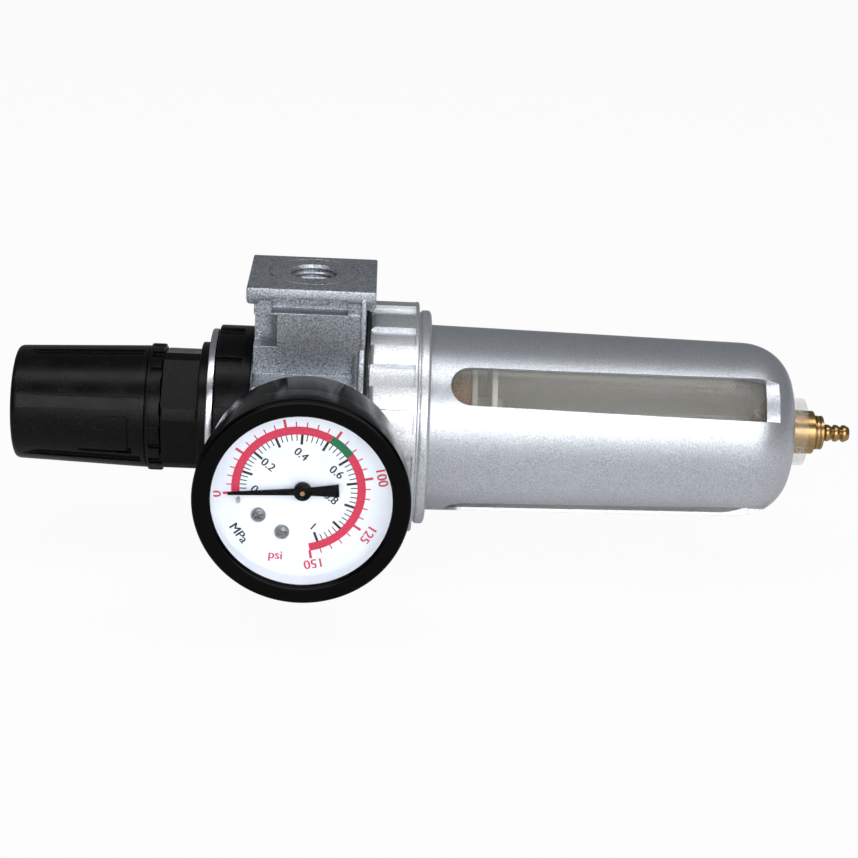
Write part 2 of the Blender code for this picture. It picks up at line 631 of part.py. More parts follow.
# Body
def body_casting(frame, main, finish):
    shape = bmesh.new()
    add_box(shape, (NECK_LEFT_X, NECK_FRONT_Y, -PORT_HALF + 1 * MM), (NECK_RIGHT_X, NECK_BACK_Y, PORT_HALF - 1 * MM))
    body = from_bmesh("body_casting", shape, frame, finish)
    extra = bmesh.new()
    for side in (1, -1):
        low, high = sorted((side * PORT_HALF, side * (PORT_HALF - FLANGE_THICK)))
        add_box(
            extra,
            (-FLANGE_WIDTH / 2, FLANGE_FRONT_Y, low),
            (FLANGE_WIDTH / 2, FLANGE_BACK_Y, high),
            bevel=0.4 * MM,
        )
    combine(body, from_bmesh("port_flanges", extra, frame), "UNION")
    lugs = bmesh.new()
    for side in (1, -1):
        low, high = sorted((side * (PORT_HALF - OVERCUT), side * (PORT_HALF - FLANGE_THICK - LUG_DROP)))
        for face, inward in ((FLANGE_FRONT_Y, 1), (FLANGE_BACK_Y, -1)):
            near, far = sorted((face, face + inward * LUG_DEPTH))
            corner = FLANGE_WIDTH / 2
            add_box(lugs, (corner - LUG_WIDTH, near, low), (corner, far, high), bevel=0.6 * MM)
    combine(body, from_bmesh("flange_lugs", lugs, frame), "UNION")
    block = bmesh.new()
    add_box(
        block,
        (NECK_LEFT_X - 0.2 * MM, -BLOCK_HALF_Y, -BLOCK_HALF_Z),
        (BLOCK_RIGHT_X, BLOCK_HALF_Y, BLOCK_HALF_Z),
        bevel=1.0 * MM,
    )
    combine(body, from_bmesh("central_block", block, frame), "UNION")
    shoulder_x = NECK_RIGHT_X - SHOULDER_THICK
    rim_x = NECK_RIGHT_X - SHOULDER_RIM_THICK
    round_part = turned(
        "shoulder_and_spigot",
        main,
        [
            (shoulder_x, 0),
            (shoulder_x, SHOULDER_R - SHOULDER_RIM_STEP - SHOULDER_ROUND),
            (shoulder_x + 0.3 * SHOULDER_ROUND, SHOULDER_R - SHOULDER_RIM_STEP - 0.3 * SHOULDER_ROUND),
            (rim_x, SHOULDER_R - SHOULDER_RIM_STEP),
            (rim_x, SHOULDER_R),
            (NECK_RIGHT_X, SHOULDER_R),
            (NECK_RIGHT_X, SPIGOT_R),
            (SPIGOT_END_X, SPIGOT_R),
            (SPIGOT_END_X, 0),
        ],
        BIG_STEPS,
    )
    combine(body, round_part, "UNION")
    collar = turned(
        "bonnet_collar",
        main,
        [(COLLAR_END_X, 0), (COLLAR_END_X, COLLAR_R), (NECK_LEFT_X + 1 * MM, COLLAR_R), (NECK_LEFT_X + 1 * MM, 0)],
        BIG_STEPS,
    )
    combine(body, collar, "UNION")
    ribs = bmesh.new()
    for side in (1, -1):
        low, high = sorted((side * EDGE_RIB_LOW_Z, side * (PORT_HALF - 0.6 * FLANGE_THICK)))
        add_box(
            ribs,
            (NECK_RIGHT_X - EDGE_RIB_THICK, NECK_FRONT_Y - EDGE_RIB, low),
            (NECK_RIGHT_X - 0.1 * MM, NECK_BACK_Y + EDGE_RIB, high),
            bevel=0.3 * MM,
        )
    combine(body, from_bmesh("edge_ribs", ribs, frame), "UNION")
    bosses = bmesh.new()
    for side in (1, -1):
        add_rod(
            bosses,
            GAUGE_BOSS_R,
            (GAUGE_X, side * (BLOCK_HALF_Y - 2 * MM), 0),
            (GAUGE_X, side * GAUGE_BOSS_G, 0),
            BIG_STEPS,
        )
    combine(body, from_bmesh("gauge_bosses", bosses, frame), "UNION")
    for tool in body_cuts(frame, main):
        combine(body, tool)
    smooth(body, 30)
    return body


def body_cuts(frame, main):
    pockets = bmesh.new()
    for side in (1, -1):
        top = side * (PORT_HALF - POCKET_LIP)
        low, high = sorted((top, top - side * POCKET_HEIGHT))
        for face, inward in ((FLANGE_FRONT_Y, 1), (FLANGE_BACK_Y, -1)):
            near, far = sorted((face - inward * OVERCUT, face + inward * (POCKET_DEPTH + NECK_INSET)))
            add_box(pockets, (POCKET_X[0], near, low), (POCKET_X[1], far, high))
    yield from_bmesh("pockets", pockets, frame)
    slots = bmesh.new()
    steps = bmesh.new()
    slot_height, slot_depth = POCKET_SLOT
    step_width, step_depth = POCKET_STEP
    for side in (1, -1):
        floor = side * (PORT_HALF - POCKET_LIP - POCKET_HEIGHT)
        low, high = sorted((floor, floor + side * slot_height))
        under, over = sorted((floor, side * (PORT_HALF - FLANGE_THICK)))
        for face, inward in ((FLANGE_FRONT_Y, 1), (FLANGE_BACK_Y, -1)):
            near, far = sorted((face + inward * POCKET_DEPTH, face + inward * (POCKET_DEPTH + NECK_INSET + slot_depth)))
            add_box(slots, (POCKET_X[0] + SLOT_INSET, near, low), (POCKET_X[1] - SLOT_INSET, far, high))
            near, far = sorted((face - inward * OVERCUT, face + inward * (NECK_INSET + step_depth)))
            add_box(steps, (POCKET_X[1] - SLOT_INSET, near, under), (POCKET_X[1] + step_width, far, over))
    yield from_bmesh("pocket_slots", slots, frame)
    yield from_bmesh("pocket_steps", steps, frame)
    scoops = bmesh.new()
    for side in (1, -1):
        for y in (NECK_FRONT_Y, NECK_BACK_Y):
            add_rod(
                scoops,
                SCOOP_R,
                (NECK_LEFT_X, y, side * SCOOP_LOW_Z),
                (NECK_LEFT_X, y, side * SCOOP_HIGH_Z),
                MIDDLE_STEPS,
            )
    yield from_bmesh("corner_scoops", scoops, frame)
    yield turned(
        "diaphragm_chamber",
        main,
        [
            (COLLAR_END_X - 1 * MM, 0),
            (COLLAR_END_X - 1 * MM, DIAPHRAGM_CHAMBER_R),
            (DIAPHRAGM_CHAMBER_X, DIAPHRAGM_CHAMBER_R),
            (DIAPHRAGM_CHAMBER_X, STEM_R + RUN),
            (OUTLET_CHAMBER_X, STEM_R + RUN),
            (OUTLET_CHAMBER_X, OUTLET_CHAMBER_R),
            (ORIFICE_X, OUTLET_CHAMBER_R),
            (ORIFICE_X, ORIFICE_R),
            (SEAT_X, ORIFICE_R),
            (SEAT_X, VALVE_CHAMBER_R),
            (RECESS_X, VALVE_CHAMBER_R),
            (RECESS_X, SPIGOT_BORE_R),
            (SPIGOT_END_X + 1 * MM, SPIGOT_BORE_R),
            (SPIGOT_END_X + 1 * MM, 0),
        ],
        BIG_STEPS,
    )
    yield turned(
        "inlet_annulus",
        main,
        [
            (ANNULUS_X, ANNULUS_INNER_R),
            (ANNULUS_X, ANNULUS_OUTER_R),
            (RECESS_X + 1 * MM, ANNULUS_OUTER_R),
            (RECESS_X + 1 * MM, ANNULUS_INNER_R),
        ],
        MIDDLE_STEPS,
    )
    for side, name in ((1, "outlet"), (-1, "inlet")):
        mouth = bmesh.new()
        face = side * PORT_HALF
        add_rod(
            mouth,
            PORT_MOUTH_R + PORT_CHAMFER,
            (0, 0, face + side * PORT_CHAMFER),
            (0, 0, face - side * (PORT_MOUTH_R - PORT_THREAD_R)),
            BIG_STEPS,
            end_radius=PORT_THREAD_R,
        )
        yield from_bmesh(name + "_mouth", mouth, frame)
        socket = bmesh.new()
        add_rod(socket, PORT_THREAD_R, (0, 0, face + side * MM), (0, 0, face - side * PORT_DEPTH), BIG_STEPS)
        yield from_bmesh(name + "_socket", socket, frame)
    passages = bmesh.new()
    add_rod(
        passages,
        PASSAGE_R,
        (PASSAGE_SHIFT_X, 0, PORT_HALF - PORT_DEPTH + 0.5 * MM),
        (PASSAGE_SHIFT_X, 0, OUTLET_CHAMBER_R - 2.6 * MM),
        MIDDLE_STEPS,
    )
    yield from_bmesh("outlet_passage", passages, frame)
    drop = bmesh.new()
    add_rod(
        drop,
        PASSAGE_R,
        (0, 0, -PORT_HALF + PORT_DEPTH - 0.5 * MM),
        (0, 0, INLET_PASSAGE_Z + INLET_PASSAGE_R - 0.4 * MM),
        MIDDLE_STEPS,
    )
    yield from_bmesh("inlet_passage", drop, frame)
    along = bmesh.new()
    add_rod(
        along,
        INLET_PASSAGE_R,
        (-1 * MM, 0, INLET_PASSAGE_Z),
        (ANNULUS_X + 1 * MM, 0, INLET_PASSAGE_Z),
        SMALL_STEPS,
    )
    yield from_bmesh("inlet_branch", along, frame)
    feedback = bmesh.new()
    add_rod(
        feedback,
        FEEDBACK_R,
        (DIAPHRAGM_CHAMBER_X - 1 * MM, FEEDBACK_OFFSET, 0),
        (OUTLET_CHAMBER_X + 1 * MM, FEEDBACK_OFFSET, 0),
        HOLE_STEPS,
    )
    yield from_bmesh("feedback_hole", feedback, frame)
    for side, name in ((-1, "front"), (1, "rear")):
        port = bmesh.new()
        deep = GAUGE_BOSS_G - GAUGE_PORT_DEPTH
        add_rod(port, GAUGE_PORT_R, (GAUGE_X, side * (GAUGE_BOSS_G + MM), 0), (GAUGE_X, side * deep, 0), MIDDLE_STEPS)
        yield from_bmesh(name + "_gauge_port", port, frame)
        hole = bmesh.new()
        add_rod(
            hole,
            GAUGE_PASSAGE_R,
            (GAUGE_X, side * (deep + 0.5 * MM), 0),
            (GAUGE_X, side * (OUTLET_CHAMBER_R - 1 * MM), 0),
            HOLE_STEPS,
        )
        yield from_bmesh(name + "_gauge_passage", hole, frame)


def rear_plug(frame, plug_finish, seal_finish):
    """The threaded plug that closes the spare gauge port, with its washer."""
    rear = axis_empty("rear_axis", (GAUGE_X, 0, 0), ((1, 0, 0), (0, 0, -1), (0, 1, 0)), frame)
    head = PLUG_HEAD_G
    turned(
        "rear_plug_washer",
        rear,
        [
            (GAUGE_BOSS_G + GAP, GAUGE_PORT_R + GAP),
            (GAUGE_BOSS_G + GAP, GASKET_R),
            (head - GAP, GASKET_R),
            (head - GAP, GAUGE_PORT_R + GAP),
        ],
        SMALL_STEPS,
        seal_finish,
    )
    plug = turned(
        "rear_plug",
        rear,
        [
            (GAUGE_BOSS_G - 7 * MM, 0),
            (GAUGE_BOSS_G - 7 * MM, GAUGE_PORT_R - GAP),
            (head, GAUGE_PORT_R - GAP),
            (head, GASKET_R - 0.3 * MM),
            (PLUG_END_G - 0.4 * MM, GASKET_R - 0.3 * MM),
            (PLUG_END_G, GASKET_R - 0.9 * MM),
            (PLUG_END_G, 0),
        ],
        SMALL_STEPS,
        plug_finish,
    )
    socket = bmesh.new()
    add_rod(socket, 3.0 * MM, (0, 0, head - 3 * MM), (0, 0, head + 4 * MM), 6)
    combine(plug, from_bmesh("rear_plug_socket", socket, rear))


# Bonnet end
def bonnet(main, finish):
    top = TUBE_END_X
    inner_top = TUBE_END_X + TUBE_TOP_WALL
    made = turned(
        "bonnet",
        main,
        [
            (top, SCREW_HEAD_R + GAP),
            (top, TUBE_R - 0.8 * MM),
            (top + 0.8 * MM, TUBE_R),
            (HEX_LEFT_X, TUBE_R),
            (HEX_LEFT_X, HEX_CORNER_R),
            (BELL_LEFT_X, HEX_CORNER_R),
            (BELL_LEFT_X, BELL_R),
            (BONNET_FLANGE_X, BELL_R),
            (BONNET_FLANGE_X, COLLAR_R - 0.1 * MM),
            (BONNET_END_X, COLLAR_R - 0.1 * MM),
            (BONNET_END_X, BELL_BORE_R),
            (BONNET_END_X - BELL_BORE_DEPTH, BELL_BORE_R),
            (BONNET_END_X - BELL_BORE_DEPTH - BELL_CONE, SPRING_BORE_R),
            (inner_top, SPRING_BORE_R),
            (inner_top, SCREW_HEAD_R + GAP),
        ],
        BIG_STEPS,
        finish,
    )
    for i in range(6):
        angle = from_front(HEX_PHASE) + 60.0 * i
        block = bmesh.new()
        low = (HEX_APOTHEM, -HEX_CORNER_R, HEX_LEFT_X - 1 * MM)
        high = (HEX_CORNER_R + 2 * MM, HEX_CORNER_R, BELL_LEFT_X)
        add_box(block, low, high)
        block.transform(Matrix.Rotation(math.radians(angle), 4, "Z"))
        tool = from_bmesh(f"hex_flat_{i + 1}", block, main)
        combine(made, tool)
    keys = bmesh.new()
    for side in (1, -1):
        low = (side * (SPRING_BORE_R - KEY_RIB_DEPTH), -KEY_RIB_WIDTH / 2, SPRING_NUT_START_X - 2 * MM)
        high = (side * (SPRING_BORE_R + 0.6 * MM), KEY_RIB_WIDTH / 2, BONNET_END_X - KEY_RIB_STANDOFF)
        xs = sorted((low[0], high[0]))
        add_box(keys, (xs[0], low[1], low[2]), (xs[1], high[1], high[2]))
    combine(made, from_bmesh("key_ribs", keys, main), "UNION")
    return made


def bonnet_ring_nut(main, finish):
    made = turned(
        "bonnet_ring_nut",
        main,
        [
            (BONNET_NUT_START_X, BELL_R + GAP),
            (BONNET_NUT_START_X, BONNET_NUT_R - 0.4 * MM),
            (BONNET_NUT_START_X + 0.4 * MM, BONNET_NUT_R),
            (BONNET_NUT_END_X, BONNET_NUT_R),
            (BONNET_NUT_END_X, COLLAR_R + GAP),
            (BONNET_NUT_LIP_X, COLLAR_R + GAP),
            (BONNET_NUT_LIP_X, BELL_R + GAP),
        ],
        BIG_STEPS,
        finish,
    )
    notches = ring_of_blocks(
        "bonnet_nut_notches",
        main,
        (BONNET_NUT_R - BONNET_NUT_NOTCH_DEPTH, BONNET_NUT_R + 2 * MM),
        (BONNET_NUT_START_X - 1 * MM, BONNET_NUT_END_X - BONNET_NUT_RIM),
        BONNET_NUT_NOTCHES,
        BONNET_NUT_NOTCH_DEG,
        BONNET_NUT_PHASE,
    )
    combine(made, notches)
    return made


def mounting_ring(main, finish):
    end = MOUNTING_RING_END_X
    start = end - MOUNTING_RING_THICK
    return turned(
        "mounting_ring",
        main,
        [
            (start, BELL_R + GAP),
            (start, MOUNTING_RING_R - 0.3 * MM),
            (start + 0.3 * MM, MOUNTING_RING_R),
            (end - 0.3 * MM, MOUNTING_RING_R),
            (end, MOUNTING_RING_R - 0.3 * MM),
            (end, BELL_R + GAP),
        ],
        BIG_STEPS,
        finish,
    )


# Knob and adjusting screw
def knob(main, finish):
    bore = KNOB_BORE_R
    end_wall = KNOB_END_X + KNOB_WALL
    socket_end = end_wall + KNOB_SOCKET_DEPTH
    groove_r = KNOB_SKIRT_R - KNOB_GROOVE_DEPTH
    made = turned(
        "knob",
        main,
        [
            (KNOB_END_X, 0),
            (KNOB_END_X, KNOB_END_R - KNOB_ROUND),
            (KNOB_END_X + 0.3 * KNOB_ROUND, KNOB_END_R - 0.3 * KNOB_ROUND),
            (KNOB_END_X + KNOB_ROUND, KNOB_END_R),
            (KNOB_SKIRT_X, KNOB_SKIRT_R),
            (KNOB_SKIRT_X, groove_r),
            (KNOB_RING_X, groove_r),
            (KNOB_RING_X, KNOB_RING_R),
            (KNOB_RING_END_X, KNOB_RING_R),
            (KNOB_RING_END_X, bore),
            (end_wall, bore),
            (end_wall, SCREW_HEAD_R + KNOB_SOCKET_WALL),
            (socket_end, SCREW_HEAD_R + KNOB_SOCKET_WALL),
            (socket_end, 0),
        ],
        BIG_STEPS,
        finish,
    )
    socket = bmesh.new()
    add_rod(socket, SCREW_HEAD_R + GAP / math.cos(math.pi / 6), (0, 0, end_wall), (0, 0, socket_end + 1 * MM), 6)
    combine(made, from_bmesh("knob_socket", socket, main))
    flutes = bmesh.new()
    for i in range(KNOB_FLUTES):
        centre = from_front(KNOB_FLUTE_PHASE) + 360.0 * i / KNOB_FLUTES
        add_flute(flutes, centre)
    combine(made, from_bmesh("knob_flutes", flutes, main))
    notches = ring_of_blocks(
        "knob_notches",
        main,
        (KNOB_RING_R - KNOB_NOTCH_DEPTH, KNOB_RING_R + 2 * MM),
        (KNOB_RING_X + 0.7 * MM, KNOB_RING_END_X + 1 * MM),
        KNOB_NOTCHES,
        KNOB_NOTCH_DEG,
        KNOB_NOTCH_PHASE,
    )
    combine(made, notches)
    latches = bmesh.new()
    mean = KNOB_END_R + (KNOB_SKIRT_R - KNOB_END_R) * (
        ((LATCH_X[0] + LATCH_X[1]) / 2 - KNOB_END_X) / (KNOB_SKIRT_X - KNOB_END_X)
    )
    radii = (mean - LATCH_DEPTH, mean + 2 * MM)
    edge = math.degrees(LATCH_GROOVE / mean)
    for turn in (0.0, 180.0):
        low, high = (from_front(angle) + turn for angle in LATCH_ARC[::-1])
        add_latch(latches, radii, low, high, edge)
    combine(made, from_bmesh("knob_latches", latches, main))
    return made


def add_flute(shape, centre):
    """A shallow lengthwise groove whose floor runs out at the closed end."""
    half = KNOB_FLUTE_DEG / 2
    stations = (
        (KNOB_END_X + 0.8 * MM, KNOB_END_R + 0.3 * MM),
        (KNOB_END_X + 6.5 * MM, KNOB_END_R - KNOB_FLUTE_DEPTH + 0.2 * MM),
        (KNOB_SKIRT_X - 1.2 * MM, KNOB_SKIRT_R - KNOB_FLUTE_DEPTH),
    )
    rows = []
    for station, floor in stations:
        rows.append(
            [
                shape.verts.new((*polar(radius, centre + side * half), station))
                for radius, side in ((floor, -1), (floor, 1), (KNOB_SKIRT_R + 2 * MM, 1), (KNOB_SKIRT_R + 2 * MM, -1))
            ]
        )
    faces = [shape.faces.new(rows[0]), shape.faces.new(rows[-1][::-1])]
    for near, far in zip(rows, rows[1:]):
        for k in range(4):
            faces.append(shape.faces.new((near[k], far[k], far[(k + 1) % 4], near[(k + 1) % 4])))
    bmesh.ops.recalc_face_normals(shape, faces=faces)


def add_latch(shape, radii, low, high, edge):
    """The U-shaped groove round a snap tongue, open towards the closed end of the knob."""
    middle = (low + high) / 2
    start, end = LATCH_X
    outline = (
        (low, start),
        (low + edge, start),
        (low + edge, end - LATCH_GROOVE),
        (middle, end - LATCH_GROOVE),
        (high - edge, end - LATCH_GROOVE),
        (high - edge, start),
        (high, start),
        (high, end),
        (middle, end),
        (low, end),
    )
    rings = []
    for radius in radii:
        rings.append([shape.verts.new((*polar(radius, angle), station)) for angle, station in outline])
    count = len(outline)
    faces = []
    for ring in rings:
        for quad in ((0, 1, 2, 9), (2, 3, 8, 9), (3, 4, 7, 8), (4, 5, 6, 7)):
            faces.append(shape.faces.new([ring[k] for k in quad]))
    for k in range(count):
        following = (k + 1) % count
        faces.append(shape.faces.new((rings[0][k], rings[0][following], rings[1][following], rings[1][k])))
    bmesh.ops.recalc_face_normals(shape, faces=faces)


def adjusting_screw(main, finish):
    collar_x = SCREW_COLLAR_X
    head_x = SCREW_HEAD_X
    made = turned(
        "adjusting_screw",
        main,
        [
            (head_x, 0),
            (head_x, SCREW_HEAD_R * math.cos(math.pi / 6)),
            (collar_x, SCREW_HEAD_R * math.cos(math.pi / 6)),
            (collar_x, SCREW_COLLAR_R),
            (collar_x + SCREW_COLLAR_THICK, SCREW_COLLAR_R),
            (collar_x + SCREW_COLLAR_THICK, SCREW_R),
            (SCREW_TIP_X - 0.8 * MM, SCREW_R),
            (SCREW_TIP_X, SCREW_R - 0.8 * MM),
            (SCREW_TIP_X, 0),
        ],
        SMALL_STEPS,
        finish,
    )
    head = bmesh.new()
    add_rod(head, SCREW_HEAD_R, (0, 0, head_x - SCREW_HEAD_LENGTH), (0, 0, head_x + 0.5 * MM), 6)
    combine(made, from_bmesh("hex_drive", head, main), "UNION")
    return made


def thrust_washer(main, finish):
    start = THRUST_WASHER_X
    end = start + THRUST_WASHER_THICK
    bore = SCREW_HEAD_R + GAP
    return turned(
        "thrust_washer",
        main,
        [(start, bore), (start, SCREW_COLLAR_R), (end, SCREW_COLLAR_R), (end, bore)],
        SMALL_STEPS,
        finish,
    )


def spring_nut(main, finish):
    start, end = SPRING_NUT_START_X, SPRING_NUT_END_X
    radius = SPRING_BORE_R - GAP
    made = turned(
        "spring_nut",
        main,
        [
            (start, SCREW_R + GAP),
            (start, radius),
            (end, radius),
            (end, SPRING_PILOT_R),
            (end + SPRING_PILOT, SPRING_PILOT_R),
            (end + SPRING_PILOT, SCREW_R + GAP),
        ],
        MIDDLE_STEPS,
        finish,
    )
    slots = bmesh.new()
    for side in (1, -1):
        xs = sorted((side * (SPRING_BORE_R - KEY_RIB_DEPTH - GAP), side * (SPRING_BORE_R + MM)))
        half = KEY_RIB_WIDTH / 2 + GAP
        add_box(slots, (xs[0], -half, start - MM), (xs[1], half, end + SPRING_PILOT + MM))
    combine(made, from_bmesh("spring_nut_slots", slots, main))
    return made


# Diaphragm and valve
def diaphragm_stack(main, finishes):
    plate_end = DIAPHRAGM_X - GAP
    plate_x = plate_end - PLATE_THICK
    turned(
        "diaphragm_plate",
        main,
        [
            (plate_x - SPRING_PILOT, SWAGE_R + GAP),
            (plate_x - SPRING_PILOT, SPRING_PILOT_R),
            (plate_x, SPRING_PILOT_R),
            (plate_x, PLATE_R),
            (plate_end, PLATE_R),
            (plate_end, SWAGE_R + GAP),
        ],
        MIDDLE_STEPS,
        finishes["zinc"],
    )
    rise = CONVOLUTION_RISE
    near, far = DIAPHRAGM_X, DIAPHRAGM_X + DIAPHRAGM_THICK
    inner, outer = PLATE_R + 0.5 * MM, BELL_BORE_R - 0.5 * MM
    crest = (inner + outer) / 2
    turned(
        "diaphragm",
        main,
        [
            (near, SWAGE_R + GAP),
            (near, inner),
            (near - rise, crest - 0.5 * MM),
            (near - rise, crest + 0.5 * MM),
            (near, outer),
            (near, COLLAR_R - 0.3 * MM),
            (far, COLLAR_R - 0.3 * MM),
            (far, outer - 0.2 * MM),
            (far - rise, crest + 0.2 * MM),
            (far - rise, crest - 0.2 * MM),
            (far, inner + 0.2 * MM),
            (far, SWAGE_R + GAP),
        ],
        BIG_STEPS,
        finishes["rubber"],
    )
    flange_x = DIAPHRAGM_X + DIAPHRAGM_THICK + GAP
    flange_end = flange_x + RELIEF_FLANGE_THICK
    turned(
        "relief_seat",
        main,
        [
            (plate_x - SPRING_PILOT - 0.8 * MM, RELIEF_BORE_R),
            (plate_x - SPRING_PILOT - 0.8 * MM, SWAGE_R),
            (flange_x, SWAGE_R),
            (flange_x, RELIEF_FLANGE_R),
            (flange_end, RELIEF_FLANGE_R),
            (flange_end, RELIEF_BORE_R),
        ],
        TINY_STEPS,
        finishes["brass"],
    )
    return plate_x, flange_end


def valve(main, finishes, stem_tip_x):
    disc_x = SEAT_X + GAP
    disc_end = disc_x + DISC_THICK
    head_x = disc_end + GAP
    head_end = head_x + VALVE_HEAD_THICK
    turned(
        "valve_disc",
        main,
        [(disc_x, STEM_R + GAP), (disc_x, DISC_R), (disc_end, DISC_R), (disc_end, STEM_R + GAP)],
        SMALL_STEPS,
        finishes["rubber"],
    )
    floor_x = HOLDER_FLANGE_X - HOLDER_FLOOR
    tail_end = floor_x + VALVE_TAIL_SPARE
    turned(
        "valve_stem",
        main,
        [
            (stem_tip_x, 0),
            (stem_tip_x, STEM_R - 0.6 * MM),
            (stem_tip_x + 1.0 * MM, STEM_R),
            (head_x, STEM_R),
            (head_x, DISC_R),
            (head_end, DISC_R),
            (head_end, VALVE_TAIL_R),
            (tail_end, VALVE_TAIL_R),
            (tail_end, 0),
        ],
        SMALL_STEPS,
        finishes["brass"],
    )
    coil(
        "valve_spring",
        main,
        finishes["spring"],
        VALVE_WIRE_R,
        VALVE_TAIL_R + GAP + VALVE_WIRE_R + 0.2 * MM,
        head_end + GAP,
        floor_x - GAP,
        VALVE_SPRING_TURNS,
    )
    return floor_x, head_end


def valve_holder(main, finish, floor_x, head_end):
    """The cup that guides the valve's tail, with the stud that carries the filter element."""
    flange_x = HOLDER_FLANGE_X
    flange_end = flange_x + HOLDER_FLANGE_THICK
    outer = VALVE_CHAMBER_R - GAP
    inner = outer - HOLDER_WALL
    guide = VALVE_TAIL_R + GAP
    made = turned(
        "valve_holder",
        main,
        [
            (head_end + VALVE_LIFT + GAP, inner),
            (head_end + VALVE_LIFT + GAP, outer),
            (flange_x, outer),
            (flange_x, HOLDER_FLANGE_R),
            (flange_end, HOLDER_FLANGE_R),
            (flange_end, HOLDER_STUD_R),
            (BAFFLE_END_X + 1.0 * MM, HOLDER_STUD_R),
            (BAFFLE_END_X + 1.0 * MM, 0),
            (floor_x + VALVE_TAIL_SPARE + VALVE_LIFT + GAP, 0),
            (floor_x + VALVE_TAIL_SPARE + VALVE_LIFT + GAP, guide),
            (floor_x, guide),
            (floor_x, inner),
        ],
        SMALL_STEPS,
        finish,
    )
    holes = bmesh.new()
    for i in range(HOLDER_AIR_HOLES):
        x, y = polar((guide + inner) / 2 + 0.1 * MM, 45 + 360.0 * i / HOLDER_AIR_HOLES)
        add_rod(holes, HOLDER_AIR_R, (x, y, floor_x - MM), (x, y, flange_end + MM), HOLE_STEPS)
    combine(made, from_bmesh("air_holes", holes, main))
    return made


# Filter cartridge
def deflector(main, finish):
    start = DEFLECTOR_X
    end = start + DEFLECTOR_THICK
    skirt_end = end + DEFLECTOR_SKIRT
    made = turned(
        "deflector",
        main,
        [
            (start, HOLDER_STUD_R + DEFLECTOR_HOLE),
            (start, DEFLECTOR_R),
            (skirt_end, DEFLECTOR_R),
            (skirt_end, DEFLECTOR_R - DEFLECTOR_WALL),
            (end, DEFLECTOR_R - DEFLECTOR_WALL),
            (end, HOLDER_STUD_R + DEFLECTOR_HOLE),
        ],
        MIDDLE_STEPS,
        finish,
    )
    vanes = bmesh.new()
    middle = (start + skirt_end) / 2
    length = (skirt_end - start) * 0.86
    for i in range(VANE_COUNT):
        before = set(vanes.verts)
        add_box(
            vanes,
            (DEFLECTOR_R - 0.5 * MM, -VANE_THICK / 2, -length / 2),
            (DEFLECTOR_R + VANE_REACH, VANE_THICK / 2, length / 2),
        )
        fresh = [vert for vert in vanes.verts if vert not in before]
        tilt = Matrix.Rotation(math.radians(VANE_TILT), 4, "X")
        spin = Matrix.Rotation(math.radians(360.0 * i / VANE_COUNT), 4, "Z")
        bmesh.ops.transform(vanes, matrix=spin @ Matrix.Translation((0, 0, middle)) @ tilt, verts=fresh)
    combine(made, from_bmesh("deflector_vanes", vanes, main), "UNION")
    return made


def filter_element(main, finish):
    start = ELEMENT_X
    return turned(
        "filter_element",
        main,
        [
            (start, ELEMENT_BORE_R),
            (start, ELEMENT_R),
            (ELEMENT_END_X, ELEMENT_R),
            (ELEMENT_END_X, ELEMENT_BORE_R),
        ],
        MIDDLE_STEPS,
        finish,
    )


def baffle(main, finish):
    first, second, nose = BAFFLE_X, BAFFLE_SECOND_X, BAFFLE_END_X
    small, large = BAFFLE_SMALL_R, BAFFLE_LARGE_R
    bore = HOLDER_STUD_R + GAP
    return turned(
        "baffle",
        main,
        [
            (first, bore),
            (first, small),
            (first + BAFFLE_DISC_THICK, small),
            (first + BAFFLE_DISC_THICK, BAFFLE_HUB_R),
            (second, BAFFLE_HUB_R),
            (second, large),
            (second + BAFFLE_DISC_THICK, large),
            (second + BAFFLE_DISC_THICK, BAFFLE_HUB_R),
            (nose, BAFFLE_HUB_R - 0.6 * MM),
            (nose, bore),
        ],
        MIDDLE_STEPS,
        finish,
    )


# Bowl, guard and bowl nut
def bowl_ring_nut(main, finish):
    bore = SPIGOT_R + GAP
    lip_x = NUT_LIP_X
    rim_x = NUT_RIM_X
    made = turned(
        "bowl_ring_nut",
        main,
        [
            (NUT_START_X, bore),
            (NUT_START_X, NUT_R - 0.5 * MM),
            (NUT_START_X + 0.5 * MM, NUT_R),
            (NUT_LANDS_END_X, NUT_R),
            (NUT_LANDS_END_X, NUT_RIM_R - 0.5 * MM),
            (rim_x, NUT_RIM_R - 0.5 * MM),
            (rim_x, NUT_RIM_R - 0.1 * MM),
            (rim_x + 0.8 * MM, NUT_RIM_R),
            (NUT_END_X - 0.8 * MM, NUT_RIM_R - 0.3 * MM),
            (NUT_END_X, NUT_RIM_R - 1.2 * MM),
            (NUT_END_X, GUARD_R + GAP),
            (lip_x, GUARD_R + GAP),
            (lip_x, bore),
        ],
        BIG_STEPS,
        finish,
    )
    width = 180.0 / NUT_LANDS
    recesses = ring_of_blocks(
        "bowl_nut_recesses",
        main,
        (NUT_R - NUT_RECESS_DEPTH, NUT_R + 2 * MM),
        (NUT_START_X - 1 * MM, NUT_LANDS_END_X - 0.9 * MM),
        NUT_LANDS,
        width,
        NUT_PHASE + width,
    )
    combine(made, recesses)
    return made


def dust_seal(main, finish):
    start = DUST_SEAL_X
    end = start + DUST_SEAL_WIDTH
    return turned(
        "dust_seal",
        main,
        [(start, SPIGOT_R + GAP), (start, DUST_SEAL_R), (end, DUST_SEAL_R), (end, SPIGOT_R + GAP)],
        BIG_STEPS,
        finish,
    )


def dome(start_x, end_x, start_r, face_r, steps):
    """Points of a quarter ellipse from the side wall to the end face, as (station, radius)."""
    points = []
    for i in range(steps + 1):
        angle = math.pi / 2 * i / steps
        points.append(
            (
                start_x + (end_x - start_x) * math.sin(angle),
                face_r + (start_r - face_r) * math.cos(angle),
            )
        )
    return points


def guard_radius(station):
    share = (station - NUT_END_X) / (GUARD_DOME_X - NUT_END_X)
    return GUARD_R - GUARD_TAPER * share


